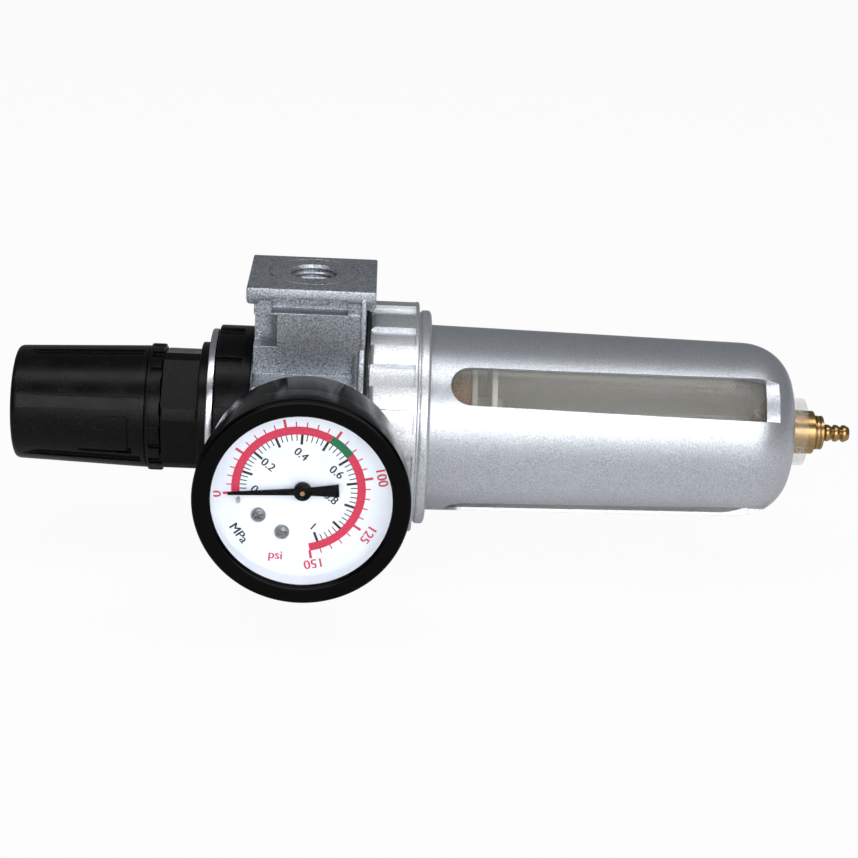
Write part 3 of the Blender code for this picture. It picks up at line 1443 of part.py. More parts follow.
def bowl_guard(main, finish):
    flange_end = GUARD_FLANGE_X + GUARD_FLANGE_THICK
    inner_x = GUARD_DOME_X - GUARD_DOME_WALL
    outer = dome(GUARD_DOME_X, GUARD_END_X, guard_radius(GUARD_DOME_X), GUARD_FACE_R, DOME_STEPS)
    inner = dome(inner_x, GUARD_END_X - GUARD_END_WALL, guard_radius(inner_x) - GUARD_WALL, BOSS_R + GAP, DOME_STEPS)
    hole = BOSS_R + RUN
    made = turned(
        "bowl_guard",
        main,
        [
            (GUARD_FLANGE_X, GUARD_R - GUARD_WALL),
            (GUARD_FLANGE_X, GUARD_FLANGE_R),
            (flange_end, GUARD_FLANGE_R),
            (flange_end, GUARD_R),
            (NUT_END_X, GUARD_R),
            *outer,
            (GUARD_END_X, hole),
            *inner[-2::-1],
            (NUT_END_X, GUARD_R - GUARD_WALL),
        ],
        BIG_STEPS,
        finish,
    )
    windows = bmesh.new()
    ledges = bmesh.new()
    floor_r = guard_radius(GUARD_DOME_X) - LEDGE_DEPTH
    for centre in window_angles():
        add_window(windows, centre)
        add_arc_block(
            ledges,
            (floor_r, GUARD_R + MM),
            (WINDOW_END_X - OVERCUT, LEDGE_END_X),
            centre,
            LEDGE_DEG,
        )
    combine(made, from_bmesh("guard_windows", windows, main))
    combine(made, from_bmesh("window_ledges", ledges, main))
    return made


def window_angles():
    """Two windows each side of the front and two opposite them."""
    for middle in (WINDOW_AXIS, WINDOW_AXIS + HALF_TURN):
        for side in (1, -1):
            yield from_front(middle + side * WINDOW_SPREAD)


def add_window(shape, centre):
    """One window: round at the nut end, square where it runs into the dome."""
    half = math.radians(WINDOW_DEG / 2)
    wide = math.radians(WINDOW_END_DEG / 2)
    reach = half * guard_radius(WINDOW_START_X)
    outline = []
    steps = 8
    for i in range(steps + 1):
        angle = math.pi / 2 + math.pi * i / steps
        outline.append((half * math.sin(angle), WINDOW_START_X + reach + reach * math.cos(angle)))
    outline.append((-wide, WINDOW_END_X))
    outline.append((wide, WINDOW_END_X))
    turn = math.radians(centre)
    rings = []
    for radius in (GUARD_FACE_R, GUARD_R + 3 * MM):
        rings.append(
            [
                shape.verts.new((radius * math.cos(turn + side), radius * math.sin(turn + side), station))
                for side, station in outline
            ]
        )
    count = len(outline)
    faces = [shape.faces.new(rings[0]), shape.faces.new(rings[1][::-1])]
    for k in range(count):
        following = (k + 1) % count
        faces.append(shape.faces.new((rings[0][k], rings[0][following], rings[1][following], rings[1][k])))
    bmesh.ops.recalc_face_normals(shape, faces=faces)


def bowl(main, finish):
    flange_end = BOWL_FLANGE_X + BOWL_FLANGE_THICK
    skin = GUARD_WALL + GAP
    outer_x = GUARD_DOME_X - GUARD_DOME_WALL - GAP
    inner_x = outer_x - 0.5 * BOWL_WALL
    inner_end = BOWL_END_X - BOWL_WALL
    groove = BOWL_NECK_R - 2 * O_RING_R - GAP
    groove_x = O_RING_X - O_RING_R - GAP
    groove_end = O_RING_X + O_RING_R + GAP
    outer = dome(outer_x, BOWL_END_X, guard_radius(outer_x) - skin, BOSS_R, DOME_STEPS)
    seat = DRAIN_FLANGE_R + GAP
    inner = dome(inner_x, inner_end, guard_radius(inner_x) - skin - BOWL_WALL, seat, DOME_STEPS)
    return turned(
        "bowl",
        main,
        [
            (RECESS_X + 2 * GAP, BOWL_BORE_R),
            (RECESS_X + 2 * GAP, BOWL_NECK_R),
            (groove_x, BOWL_NECK_R),
            (groove_x, groove),
            (groove_end, groove),
            (groove_end, BOWL_NECK_R),
            (BOWL_FLANGE_X, BOWL_NECK_R),
            (BOWL_FLANGE_X, GUARD_FLANGE_R),
            (flange_end, GUARD_FLANGE_R),
            (flange_end, GUARD_R - skin),
            (NUT_END_X, GUARD_R - skin),
            *outer,
            (BOSS_END_X - 0.5 * MM, BOSS_R),
            (BOSS_END_X, BOSS_R - 0.5 * MM),
            (BOSS_END_X, BOSS_BORE_R),
            (inner_end, BOSS_BORE_R),
            *inner[::-1],
            (NUT_END_X, BOWL_BORE_R),
        ],
        BIG_STEPS,
        finish,
    )


def bowl_o_ring(main, finish):
    centre = SPIGOT_BORE_R - GAP - O_RING_R
    section = [polar(O_RING_R, 60 * i) for i in range(6)]
    ring = [(O_RING_X + along, centre + across) for along, across in section]
    return turned("bowl_o_ring", main, ring, BIG_STEPS, finish)


# Drain
def drain(main, finishes):
    flange_end = DRAIN_FLANGE_END_X
    flange_x = DRAIN_FLANGE_X
    recess_x = DRAIN_RECESS_X
    recess_r = DRAIN_COLLAR_R + GAP
    turned(
        "drain_body",
        main,
        [
            (flange_x, DRAIN_BORE_R),
            (flange_x, DRAIN_FLANGE_R),
            (flange_end, DRAIN_FLANGE_R),
            (flange_end, DRAIN_BODY_R),
            (DRAIN_BODY_END_X, DRAIN_BODY_R),
            (DRAIN_BODY_END_X, recess_r),
            (recess_x, recess_r),
            (recess_x, DRAIN_SPRING_BORE_R),
            (DRAIN_SPRING_X, DRAIN_SPRING_BORE_R),
            (DRAIN_SPRING_X, DRAIN_BORE_R),
        ],
        SMALL_STEPS,
        finishes["brass"],
    )
    collar_x = DRAIN_COLLAR_X
    collar_end = DRAIN_COLLAR_END_X
    seal_end = flange_x - GAP
    head_end = seal_end - DRAIN_SEAL_THICK - GAP
    head_x = head_end - DRAIN_HEAD_THICK
    barbs = []
    pitch = (DRAIN_TIP_X - collar_end - 0.6 * MM) / BARB_COUNT
    for i in range(BARB_COUNT):
        start = collar_end + 0.6 * MM + pitch * i
        barbs += [
            (start, BARB_CORE_R),
            (start + 0.25 * pitch, BARB_R - 0.1 * MM),
            (start + 0.55 * pitch, BARB_R),
            (start + 0.85 * pitch, BARB_R - 0.25 * MM),
        ]
    stem = turned(
        "drain_stem",
        main,
        [
            (head_x, 0),
            (head_x, DRAIN_HEAD_R),
            (head_end, DRAIN_HEAD_R),
            (head_end, DRAIN_SHAFT_R),
            (collar_x, DRAIN_SHAFT_R),
            (collar_x, DRAIN_COLLAR_R),
            (collar_end - 0.4 * MM, DRAIN_COLLAR_R),
            (collar_end, DRAIN_COLLAR_R - 0.4 * MM),
            (collar_end, BARB_CORE_R),
            *barbs,
            (DRAIN_TIP_X, BARB_CORE_R),
            (DRAIN_TIP_X, DRAIN_HOLE_R),
            (flange_x + 2 * MM, DRAIN_HOLE_R),
            (flange_x + 2 * MM, 0),
        ],
        SMALL_STEPS,
        finishes["brass"],
    )
    cross = bmesh.new()
    cross_x = flange_x + 3.2 * MM
    add_rod(cross, 0.7 * MM, (-4 * MM, 0, cross_x), (4 * MM, 0, cross_x), TINY_STEPS)
    combine(stem, from_bmesh("drain_cross_hole", cross, main))
    turned(
        "drain_seal",
        main,
        [
            (head_end + GAP, DRAIN_SHAFT_R + GAP),
            (head_end + GAP, DRAIN_HEAD_R - GAP),
            (seal_end, DRAIN_HEAD_R - GAP),
            (seal_end, DRAIN_SHAFT_R + GAP),
        ],
        TINY_STEPS,
        finishes["rubber"],
    )
    coil(
        "drain_spring",
        main,
        finishes["spring"],
        DRAIN_WIRE_R,
        (DRAIN_SHAFT_R + DRAIN_SPRING_BORE_R) / 2,
        DRAIN_SPRING_X + GAP,
        collar_x - GAP,
        DRAIN_SPRING_TURNS,
    )


# Gauge
def gauge_case(gauge, finish):
    inner = CASE_R - CASE_WALL
    return turned(
        "gauge_case",
        gauge,
        [
            (CASE_BACK_G, STEM_NECK_R + GAP),
            (CASE_BACK_G, CASE_R - 1.0 * MM),
            (CASE_BACK_G + 0.3 * MM, CASE_R - 0.3 * MM),
            (CASE_BACK_G + 1.0 * MM, CASE_R),
            (CASE_FRONT_G, CASE_R),
            (CASE_FRONT_G, inner),
            (CASE_BACK_G + CASE_WALL, inner),
            (CASE_BACK_G + CASE_WALL, STEM_NECK_R + GAP),
        ],
        BIG_STEPS,
        finish,
    )


def gauge_bezel(gauge, finish):
    return turned(
        "gauge_bezel",
        gauge,
        [
            (BEZEL_BACK_G, CASE_R + GAP),
            (BEZEL_BACK_G, BEZEL_R - 0.5 * MM),
            (BEZEL_BACK_G + 0.6 * MM, BEZEL_R),
            (BEZEL_FRONT_G - 2.0 * MM, BEZEL_R),
            (BEZEL_FRONT_G - 0.8 * MM, BEZEL_R - 0.5 * MM),
            (BEZEL_FRONT_G, BEZEL_R - 1.6 * MM),
            (BEZEL_FRONT_G - 0.5 * MM, BEZEL_WINDOW_R + 0.3 * MM),
            (BEZEL_FRONT_G - 0.9 * MM, BEZEL_WINDOW_R),
            (BEZEL_LIP_G, BEZEL_WINDOW_R),
            (BEZEL_LIP_G, CASE_R + GAP),
        ],
        BIG_STEPS,
        finish,
    )


def gauge_lens(gauge, finish):
    end = LENS_G + LENS_THICK
    return turned(
        "gauge_lens", gauge, [(LENS_G, 0), (LENS_G, LENS_R), (end, LENS_R), (end, 0)], BIG_STEPS, finish
    )


def gauge_dial(gauge, finish):
    made = turned(
        "gauge_dial",
        gauge,
        [
            (DIAL_G, ARBOR_R + RUN),
            (DIAL_G, DIAL_R),
            (DIAL_FACE_G, DIAL_R),
            (DIAL_FACE_G, ARBOR_R + RUN),
        ],
        BIG_STEPS,
        finish,
    )
    holes = bmesh.new()
    for radius, angle in SCREW_PLACES:
        x, y = polar(radius, angle)
        add_rod(holes, DIAL_SCREW_R + GAP, (x, y, DIAL_G - MM), (x, y, DIAL_FACE_G + MM), SMALL_STEPS)
    x, y = polar(*STOP_PIN_PLACE)
    add_rod(holes, STOP_PIN_R + GAP, (x, y, DIAL_G - MM), (x, y, DIAL_FACE_G + MM), HOLE_STEPS)
    combine(made, from_bmesh("dial_holes", holes, gauge))
    return made


def dial_screws(gauge, finish):
    base = DIAL_FACE_G + GAP
    foot = FRAME_FRONT_G - FRAME_PLATE
    for (radius, angle), name in zip(SCREW_PLACES, ("dial_screw_upper", "dial_screw_lower")):
        made = turned(
            name,
            gauge,
            [
                (foot, 0),
                (foot, DIAL_SCREW_R - 0.3 * MM),
                (base, DIAL_SCREW_R - 0.3 * MM),
                (base, DIAL_SCREW_HEAD_R),
                (base + 0.5 * MM, DIAL_SCREW_HEAD_R),
                (base + 1.0 * MM, DIAL_SCREW_HEAD_R - 0.7 * MM),
                (base + 1.0 * MM, 0),
            ],
            SMALL_STEPS,
            finish,
            (*polar(radius, angle), 0),
        )
        for turn in (0.0, 90.0):
            slot = bmesh.new()
            add_box(slot, (-1.2 * MM, -0.25 * MM, base + 0.5 * MM), (1.2 * MM, 0.25 * MM, base + 2 * MM))
            slot.transform(Matrix.Rotation(math.radians(turn + 30), 4, "Z"))
            combine(made, from_bmesh(f"{name}_slot_{turn:.0f}", slot, gauge, None, (*polar(radius, angle), 0)))


def gauge_frame(gauge, finish):
    """The two plates and pillars that hold the arbor and the sector, behind the dial."""
    front = FRAME_FRONT_G
    shape = bmesh.new()
    add_box(shape, (-FRAME_HALF_WIDTH, -FRAME_DOWN, front - FRAME_PLATE), (FRAME_HALF_WIDTH, FRAME_UP, front))
    shape.transform(Matrix.Rotation(math.radians(DIAL_DOWN + 90), 4, "Z"))
    made = from_bmesh("gauge_frame", shape, gauge, finish)
    lugs = bmesh.new()
    for radius, angle in SCREW_PLACES:
        x, y = polar(radius, angle)
        add_rod(lugs, DIAL_SCREW_R + 1.6 * MM, (x, y, front - FRAME_PLATE), (x, y, front - 0.01 * MM), SMALL_STEPS)
    combine(made, from_bmesh("frame_lugs", lugs, gauge), "UNION")
    back = bmesh.new()
    add_box(
        back,
        (-FRAME_HALF_WIDTH, -FRAME_DOWN, FRAME_BACK_G),
        (FRAME_HALF_WIDTH, FRAME_UP, FRAME_BACK_G + FRAME_PLATE),
    )
    back.transform(Matrix.Rotation(math.radians(DIAL_DOWN + 90), 4, "Z"))
    combine(made, from_bmesh("frame_back", back, gauge), "UNION")
    pillars = bmesh.new()
    for place in ((-4.6 * MM, 4.6 * MM), (4.6 * MM, 4.6 * MM)):
        add_rod(pillars, 1.0 * MM, (*place, FRAME_BACK_G + 0.5 * MM), (*place, front - 0.5 * MM), HOLE_STEPS)
    pillars.transform(Matrix.Rotation(math.radians(DIAL_DOWN + 90), 4, "Z"))
    combine(made, from_bmesh("frame_pillars", pillars, gauge), "UNION")
    holes = bmesh.new()
    add_rod(holes, ARBOR_R + RUN, (0, 0, FRAME_BACK_G - MM), (0, 0, front + MM), HOLE_STEPS)
    add_rod(
        holes, ARBOR_R + RUN, (*sector_place(), FRAME_BACK_G - MM), (*sector_place(), front + MM), HOLE_STEPS
    )
    for radius, angle in SCREW_PLACES:
        x, y = polar(radius, angle)
        add_rod(holes, DIAL_SCREW_R, (x, y, front - FRAME_PLATE - MM), (x, y, front + MM), SMALL_STEPS)
    combine(made, from_bmesh("frame_holes", holes, gauge))
    return made


def sector_place():
    return polar(SECTOR_PIVOT_R, DIAL_DOWN)


def gauge_sector(gauge, finish):
    """The toothed sector that turns the arbor, on its own pivot."""
    low = GEAR_G
    high = low + 1.5 * MM
    pivot = axis_empty_child("sector_pivot", gauge, (*sector_place(), 0))
    start, end = SECTOR_REACH
    teeth = 16
    inward = DIAL_DOWN + 180
    outline = [polar(2.4 * MM, inward + end), polar(2.4 * MM, inward + start)]
    for i in range(teeth):
        left = inward + start + (end - start) * i / teeth
        step = (end - start) / teeth
        outline.append(polar(SECTOR_R - 0.5 * MM, left))
        outline.append(polar(SECTOR_R, left + 0.25 * step))
        outline.append(polar(SECTOR_R, left + 0.55 * step))
        outline.append(polar(SECTOR_R - 0.5 * MM, left + 0.8 * step))
    shape = bmesh.new()
    face = shape.faces.new([shape.verts.new((x, y, low)) for x, y in outline])
    grown = bmesh.ops.extrude_face_region(shape, geom=[face])["geom"]
    bmesh.ops.translate(shape, vec=(0, 0, high - low), verts=[v for v in grown if isinstance(v, bmesh.types.BMVert)])
    bmesh.ops.recalc_face_normals(shape, faces=shape.faces)
    made = from_bmesh("gauge_sector", shape, pivot, finish)
    hub = bmesh.new()
    add_rod(hub, 2.6 * MM, (0, 0, low - 0.05 * MM), (0, 0, high + 0.4 * MM), SMALL_STEPS)
    combine(made, from_bmesh("sector_hub", hub, pivot), "UNION")
    shaft = bmesh.new()
    add_rod(
        shaft, ARBOR_R, (0, 0, FRAME_BACK_G + 0.1 * MM), (0, 0, FRAME_FRONT_G - 0.1 * MM), HOLE_STEPS
    )
    combine(made, from_bmesh("sector_shaft", shaft, pivot), "UNION")
    return made


def axis_empty_child(name, parent, place):
    child = bpy.data.objects.new(name, None)
    child.empty_display_size = 0.005
    bpy.data.collections[PARTS].objects.link(child)
    child.parent = parent
    child.location = place
    return child


def gauge_arbor(gauge, finish):
    low = GEAR_G
    made = turned(
        "gauge_arbor",
        gauge,
        [
            (FRAME_BACK_G + 0.1 * MM, 0),
            (FRAME_BACK_G + 0.1 * MM, ARBOR_R),
            (low, ARBOR_R),
            (low, PINION_R - 0.3 * MM),
            (low + 2.2 * MM, PINION_R - 0.3 * MM),
            (low + 2.2 * MM, ARBOR_R),
            (POINTER_FACE_G + 1.1 * MM, ARBOR_R),
            (POINTER_FACE_G + 1.1 * MM, 0),
        ],
        TINY_STEPS,
        finish,
    )
    for i in range(6):
        block = bmesh.new()
        add_box(block, (-PINION_R, -0.13 * MM, low + 0.1 * MM), (PINION_R, 0.13 * MM, low + 2.1 * MM))
        block.transform(Matrix.Rotation(math.radians(30.0 * i), 4, "Z"))
        tool = from_bmesh(f"pinion_teeth_{i + 1}", block, gauge)
        combine(made, tool, "UNION")
    return made


def gauge_pointer(gauge, finish):
    low, high = POINTER_G, POINTER_FACE_G
    stations = (POINTER_LENGTH, 0.6 * POINTER_HUB_R, -POINTER_HUB_R, -POINTER_TAIL)
    edge = list(zip(stations, POINTER_HALF_WIDTHS))
    outline = edge + [(x, -y) for x, y in edge[::-1]]
    shape = bmesh.new()
    face = shape.faces.new([shape.verts.new((x, y, low)) for x, y in outline])
    grown = bmesh.ops.extrude_face_region(shape, geom=[face])["geom"]
    bmesh.ops.translate(shape, vec=(0, 0, high - low), verts=[v for v in grown if isinstance(v, bmesh.types.BMVert)])
    bmesh.ops.recalc_face_normals(shape, faces=shape.faces)
    shape.transform(Matrix.Rotation(math.radians(POINTER_REST), 4, "Z"))
    made = from_bmesh("gauge_pointer", shape, gauge, finish)
    hub = turned(
        "pointer_hub",
        gauge,
        [
            (low - 0.8 * MM, 0),
            (low - 0.8 * MM, POINTER_HUB_R - 0.6 * MM),
            (low - 0.1 * MM, POINTER_HUB_R),
            (high + 0.3 * MM, POINTER_HUB_R),
            (high + 0.7 * MM, POINTER_HUB_R - 0.6 * MM),
            (high + 0.7 * MM, 0),
        ],
        SMALL_STEPS,
    )
    combine(made, hub, "UNION")
    hole = bmesh.new()
    add_rod(hole, ARBOR_R + GAP, (0, 0, low - 2 * MM), (0, 0, high + 2 * MM), HOLE_STEPS)
    combine(made, from_bmesh("pointer_hole", hole, gauge))
    return made


def gauge_stop_pin(gauge, finish):
    x, y = polar(*STOP_PIN_PLACE)
    low, high = DIAL_G - 0.6 * MM, POINTER_FACE_G + 0.4 * MM
    return turned(
        "gauge_stop_pin",
        gauge,
        [(low, 0), (low, STOP_PIN_R), (high, STOP_PIN_R), (high, 0)],
        TINY_STEPS,
        finish,
        (x, y, 0),
    )


def gauge_stem(gauge, finish):
    """The brass socket: thread, wrench square, neck through the case, and the block that feeds the tube."""
    thread_g = STEM_THREAD_G
    square_g = PLUG_HEAD_G
    square_end = square_g + STEM_FLATS_LENGTH
    neck_end = CASE_BACK_G + CASE_WALL + 1.4 * MM
    made = turned(
        "gauge_stem",
        gauge,
        [
            (thread_g, 0),
            (thread_g, GAUGE_PORT_R - GAP - 0.6 * MM),
            (thread_g + 0.6 * MM, GAUGE_PORT_R - GAP),
            (square_g, GAUGE_PORT_R - GAP),
            (square_g, STEM_NECK_R),
            (neck_end, STEM_NECK_R),
            (neck_end, 0),
        ],
        SMALL_STEPS,
        finish,
    )
    square = bmesh.new()
    half = STEM_FLATS / 2
    add_box(square, (-half, -half, square_g), (half, half, square_end), bevel=0.8 * MM)
    square.transform(Matrix.Rotation(math.radians(DIAL_DOWN + 90), 4, "Z"))
    made_square = from_bmesh("stem_square", square, gauge)
    combine(made, made_square, "UNION")
    block = bmesh.new()
    add_box(
        block,
        (-3.2 * MM, -BOURDON_R - 2.4 * MM, neck_end - 1.3 * MM),
        (3.2 * MM, 3 * MM, FRAME_BACK_G - GAP),
    )
    block.transform(Matrix.Rotation(math.radians(DIAL_DOWN + 90), 4, "Z"))
    combine(made, from_bmesh("stem_block", block, gauge), "UNION")
    bore = bmesh.new()
    add_rod(bore, GAUGE_PASSAGE_R, (0, 0, thread_g - MM), (0, 0, neck_end - 2.4 * MM), TINY_STEPS)
    combine(made, from_bmesh("stem_bore", bore, gauge))
    return made


def bourdon_tube(gauge, finish):
    """The bent pressure tube, from beside the feed block round to its free tip."""
    line = bpy.data.curves.new("bourdon_tube", "CURVE")
    line.dimensions = "3D"
    line.bevel_depth = BOURDON_TUBE_R
    line.bevel_resolution = 2
    line.use_fill_caps = True
    run = line.splines.new("POLY")
    count = 24
    run.points.add(count)
    start = DIAL_DOWN + math.degrees((3.2 * MM + 2 * GAP) / BOURDON_R)
    for i, point in enumerate(run.points):
        x, y = polar(BOURDON_R, start + BOURDON_SWEEP * i / count)
        point.co = (x, y, BOURDON_G, 1)
    made = bpy.data.objects.new("bourdon_tube", line)
    made.parent = gauge
    bpy.data.collections[PARTS].objects.link(made)
    line.materials.append(finish)
    return made


def gauge_gasket(gauge, finish):
    low = GASKET_G
    high = GASKET_G + GASKET_THICK
    return turned(
        "gauge_gasket",
        gauge,
        [
            (low, GAUGE_PORT_R + GAP),
            (low, GASKET_R),
            (high, GASKET_R),
            (high, GAUGE_PORT_R + GAP),
        ],
        SMALL_STEPS,
        finish,
    )


def build():
    clear_scene()
    finishes = {
        "cast": material("silver_casting", (0.52, 0.53, 0.56), 0.45, 0.6),
        "guard": material("silver_guard", (0.62, 0.63, 0.66), 0.4, 0.6),
        "black": material("black_plastic", (0.012, 0.012, 0.014), 0.45),
        "zinc": material("zinc_plate", (0.72, 0.72, 0.76), 0.25, 1.0),
        "steel": material("steel", (0.55, 0.55, 0.57), 0.35, 1.0),
        "spring": material("spring_steel", (0.42, 0.42, 0.44), 0.35, 1.0),
        "brass": material("brass", (0.72, 0.5, 0.2), 0.3, 1.0),
        "bronze": material("sintered_bronze", (0.42, 0.25, 0.1), 0.8, 0.4),
        "rubber": material("black_rubber", (0.02, 0.02, 0.02), 0.7),
        "clear": material("clear_bowl", (0.9, 0.88, 0.78), 0.08, 0.0, 0.35),
        "glass": material("gauge_window", (0.95, 0.97, 0.97), 0.03, 0.0, 0.2),
        "white": material("white_plastic", (0.85, 0.85, 0.83), 0.5),
        "case": material("gauge_black", (0.01, 0.01, 0.012), 0.25),
        "dial": material("dial_white", (0.8, 0.82, 0.86), 0.5),
    }
    centre_x = (KNOB_END_X + DRAIN_TIP_X) / 2
    centre_y = (PLUG_END_G - BEZEL_FRONT_G) / 2
    regulator = axis_empty(
        "regulator", (-centre_x, -centre_y, PORT_HALF), ((1, 0, 0), (0, 1, 0), (0, 0, 1))
    )
    main = axis_empty("main_axis", (0, 0, 0), ((0, 0, 1), (0, -1, 0), (1, 0, 0)), regulator)
    gauge = axis_empty("gauge_axis", (GAUGE_X, 0, 0), ((1, 0, 0), (0, 0, 1), (0, -1, 0)), regulator)

    body_casting(regulator, main, finishes["cast"])
    rear_plug(regulator, finishes["steel"], finishes["rubber"])
    bonnet(main, finishes["black"])
    bonnet_ring_nut(main, finishes["black"])
    mounting_ring(main, finishes["zinc"])
    knob(main, finishes["black"])
    adjusting_screw(main, finishes["steel"])
    thrust_washer(main, finishes["white"])
    spring_nut(main, finishes["brass"])
    plate_x, relief_end = diaphragm_stack(main, finishes)
    coil(
        "main_spring",
        main,
        finishes["spring"],
        MAIN_WIRE_R,
        SPRING_PILOT_R + GAP + MAIN_WIRE_R,
        SPRING_NUT_END_X + GAP,
        plate_x - GAP,
        MAIN_SPRING_TURNS,
    )
    floor_x, head_end = valve(main, finishes, relief_end + GAP)
    valve_holder(main, finishes["white"], floor_x, head_end)
    deflector(main, finishes["white"])
    filter_element(main, finishes["bronze"])
    baffle(main, finishes["clear"])
    dust_seal(main, finishes["rubber"])
    bowl_ring_nut(main, finishes["cast"])
    bowl_guard(main, finishes["guard"])
    bowl(main, finishes["clear"])
    bowl_o_ring(main, finishes["rubber"])
    drain(main, finishes)

    gauge_case(gauge, finishes["case"])
    gauge_bezel(gauge, finishes["case"])
    gauge_lens(gauge, finishes["glass"])
    gauge_dial(gauge, finishes["dial"])
    dial_screws(gauge, finishes["steel"])
    gauge_frame(gauge, finishes["brass"])
    gauge_sector(gauge, finishes["brass"])
    gauge_arbor(gauge, finishes["brass"])
    gauge_pointer(gauge, finishes["case"])
    gauge_stop_pin(gauge, finishes["steel"])
    gauge_stem(gauge, finishes["brass"])
    bourdon_tube(gauge, finishes["brass"])
    gauge_gasket(gauge, finishes["white"])


build()
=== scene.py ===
"""The looks of an air filter regulator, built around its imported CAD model."""

import math

import bmesh
import bpy
from mathutils import Matrix, Vector


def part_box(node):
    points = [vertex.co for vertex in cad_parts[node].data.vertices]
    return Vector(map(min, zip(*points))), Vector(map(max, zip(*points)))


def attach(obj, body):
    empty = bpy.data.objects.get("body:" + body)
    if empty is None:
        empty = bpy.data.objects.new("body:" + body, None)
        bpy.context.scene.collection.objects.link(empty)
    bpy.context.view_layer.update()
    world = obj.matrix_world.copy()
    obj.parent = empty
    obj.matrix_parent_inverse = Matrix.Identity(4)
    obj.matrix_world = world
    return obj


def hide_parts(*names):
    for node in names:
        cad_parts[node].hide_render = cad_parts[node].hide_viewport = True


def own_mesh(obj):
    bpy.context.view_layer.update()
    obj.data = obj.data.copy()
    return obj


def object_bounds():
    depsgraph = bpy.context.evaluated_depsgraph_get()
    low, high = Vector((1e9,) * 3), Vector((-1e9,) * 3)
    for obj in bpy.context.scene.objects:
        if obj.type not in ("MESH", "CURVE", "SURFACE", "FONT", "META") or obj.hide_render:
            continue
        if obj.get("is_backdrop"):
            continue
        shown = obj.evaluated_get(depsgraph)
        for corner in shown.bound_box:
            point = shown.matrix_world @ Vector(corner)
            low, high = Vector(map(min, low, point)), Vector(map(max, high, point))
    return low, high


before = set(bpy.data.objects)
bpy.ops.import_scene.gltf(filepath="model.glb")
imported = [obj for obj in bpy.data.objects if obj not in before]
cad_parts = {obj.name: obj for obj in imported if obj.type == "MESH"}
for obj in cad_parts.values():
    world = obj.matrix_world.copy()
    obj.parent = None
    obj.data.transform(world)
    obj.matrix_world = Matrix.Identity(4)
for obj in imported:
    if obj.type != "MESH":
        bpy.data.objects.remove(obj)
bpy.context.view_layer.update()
MM = 0.001

# Sizes that the frame does not give
STEPS = 160
FINE_STEPS = 256
GAP = 0.3 * MM
TOUCH = 0.02 * MM
COLLAR_REACH = 19.3 * MM
PRINT_THICK = 0.03 * MM

# Axes: a piece's own third axis runs along the main axis, the gauge's axis or the ports' axis
body_low, body_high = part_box("body_casting")
body_middle = (Vector(body_low) + Vector(body_high)) / 2
AXIS = Vector((body_low[0] + COLLAR_REACH, body_middle.y, body_middle.z))
dial_low, dial_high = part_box("gauge_dial")
GAUGE_AXIS = Vector(((dial_low[0] + dial_high[0]) / 2, AXIS.y, AXIS.z))
MAIN = Matrix.Translation(AXIS) @ Matrix(((0, 0, 1, 0), (0, -1, 0, 0), (1, 0, 0, 0), (0, 0, 0, 1)))
GAUGE = Matrix.Translation(GAUGE_AXIS) @ Matrix(((1, 0, 0, 0), (0, 0, -1, 0), (0, 1, 0, 0), (0, 0, 0, 1)))
PORTS = Matrix.Translation(AXIS)
HALF_HEIGHT = (body_high[2] - body_low[2]) / 2


def along(node):
    """A node's first and last station on the main axis."""
    low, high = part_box(node)
    return low[0] - AXIS.x, high[0] - AXIS.x


def forward(node):
    """A node's first and last station on the gauge's axis, counted towards the front."""
    low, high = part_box(node)
    return AXIS.y - high[1], AXIS.y - low[1]


def reach(node):
    """A node's largest radius round the main axis."""
    low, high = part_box(node)
    return (high[2] - low[2]) / 2


def polar(radius, degrees):
    return radius * math.cos(math.radians(degrees)), radius * math.sin(math.radians(degrees))


def spin(degrees):
    """A turn about the third axis."""
    return Matrix.Rotation(math.radians(degrees), 4, "Z")


def from_front(degrees):
    """An angle counted upwards from the front, as the main axis counts it."""
    return 90.0 - degrees


# Meshes
def soften(profile, size, steps=3):
    """Rounds each corner of a closed profile, except those on the axis."""
    rounded = []
    count = len(profile)
    for i, point in enumerate(profile):
        here = Vector(point)
        before = Vector(profile[i - 1]) - here
        after = Vector(profile[(i + 1) % count]) - here
        if here.y == 0 or before.length == 0 or after.length == 0:
            rounded.append(tuple(here))
            continue
        turn = before.angle(after)
        if turn > math.radians(168):
            rounded.append(tuple(here))
            continue
        first = here + before.normalized() * min(size, 0.45 * before.length)
        last = here + after.normalized() * min(size, 0.45 * after.length)
        for k in range(steps + 1):
            share = k / steps
            bend = first * (1 - share) ** 2 + here * 2 * share * (1 - share) + last * share**2
            rounded.append(tuple(bend))
    return rounded


def stairs(station, *treads):
    """A square-cut profile from a station on: each tread is a radius and the station it runs to."""
    points = []
    for radius, following in treads:
        points += [(station, radius), (following, radius)]
        station = following
    return points


def lathe(profile, steps=STEPS):
    """A closed solid from a closed profile of (station, radius), turned about the third axis."""
    shape = bmesh.new()
    rings = []
    for station, radius in profile:
        if radius <= 0:
            rings.append([shape.verts.new((0, 0, station))])
        else:
            ring = []
            for k in range(steps):
                x, y = polar(radius, 360.0 * k / steps)
                ring.append(shape.verts.new((x, y, station)))
            rings.append(ring)
    for near, far in zip(rings, rings[1:] + rings[:1]):
        if len(near) == 1 and len(far) == 1:
            continue
        for k in range(steps):
            corners = []
            for ring, index in ((near, k), (near, k + 1), (far, k + 1), (far, k)):
                vert = ring[index % len(ring)]
                if vert not in corners:
                    corners.append(vert)
            shape.faces.new(corners)
    bmesh.ops.recalc_face_normals(shape, faces=shape.faces)
    return shape


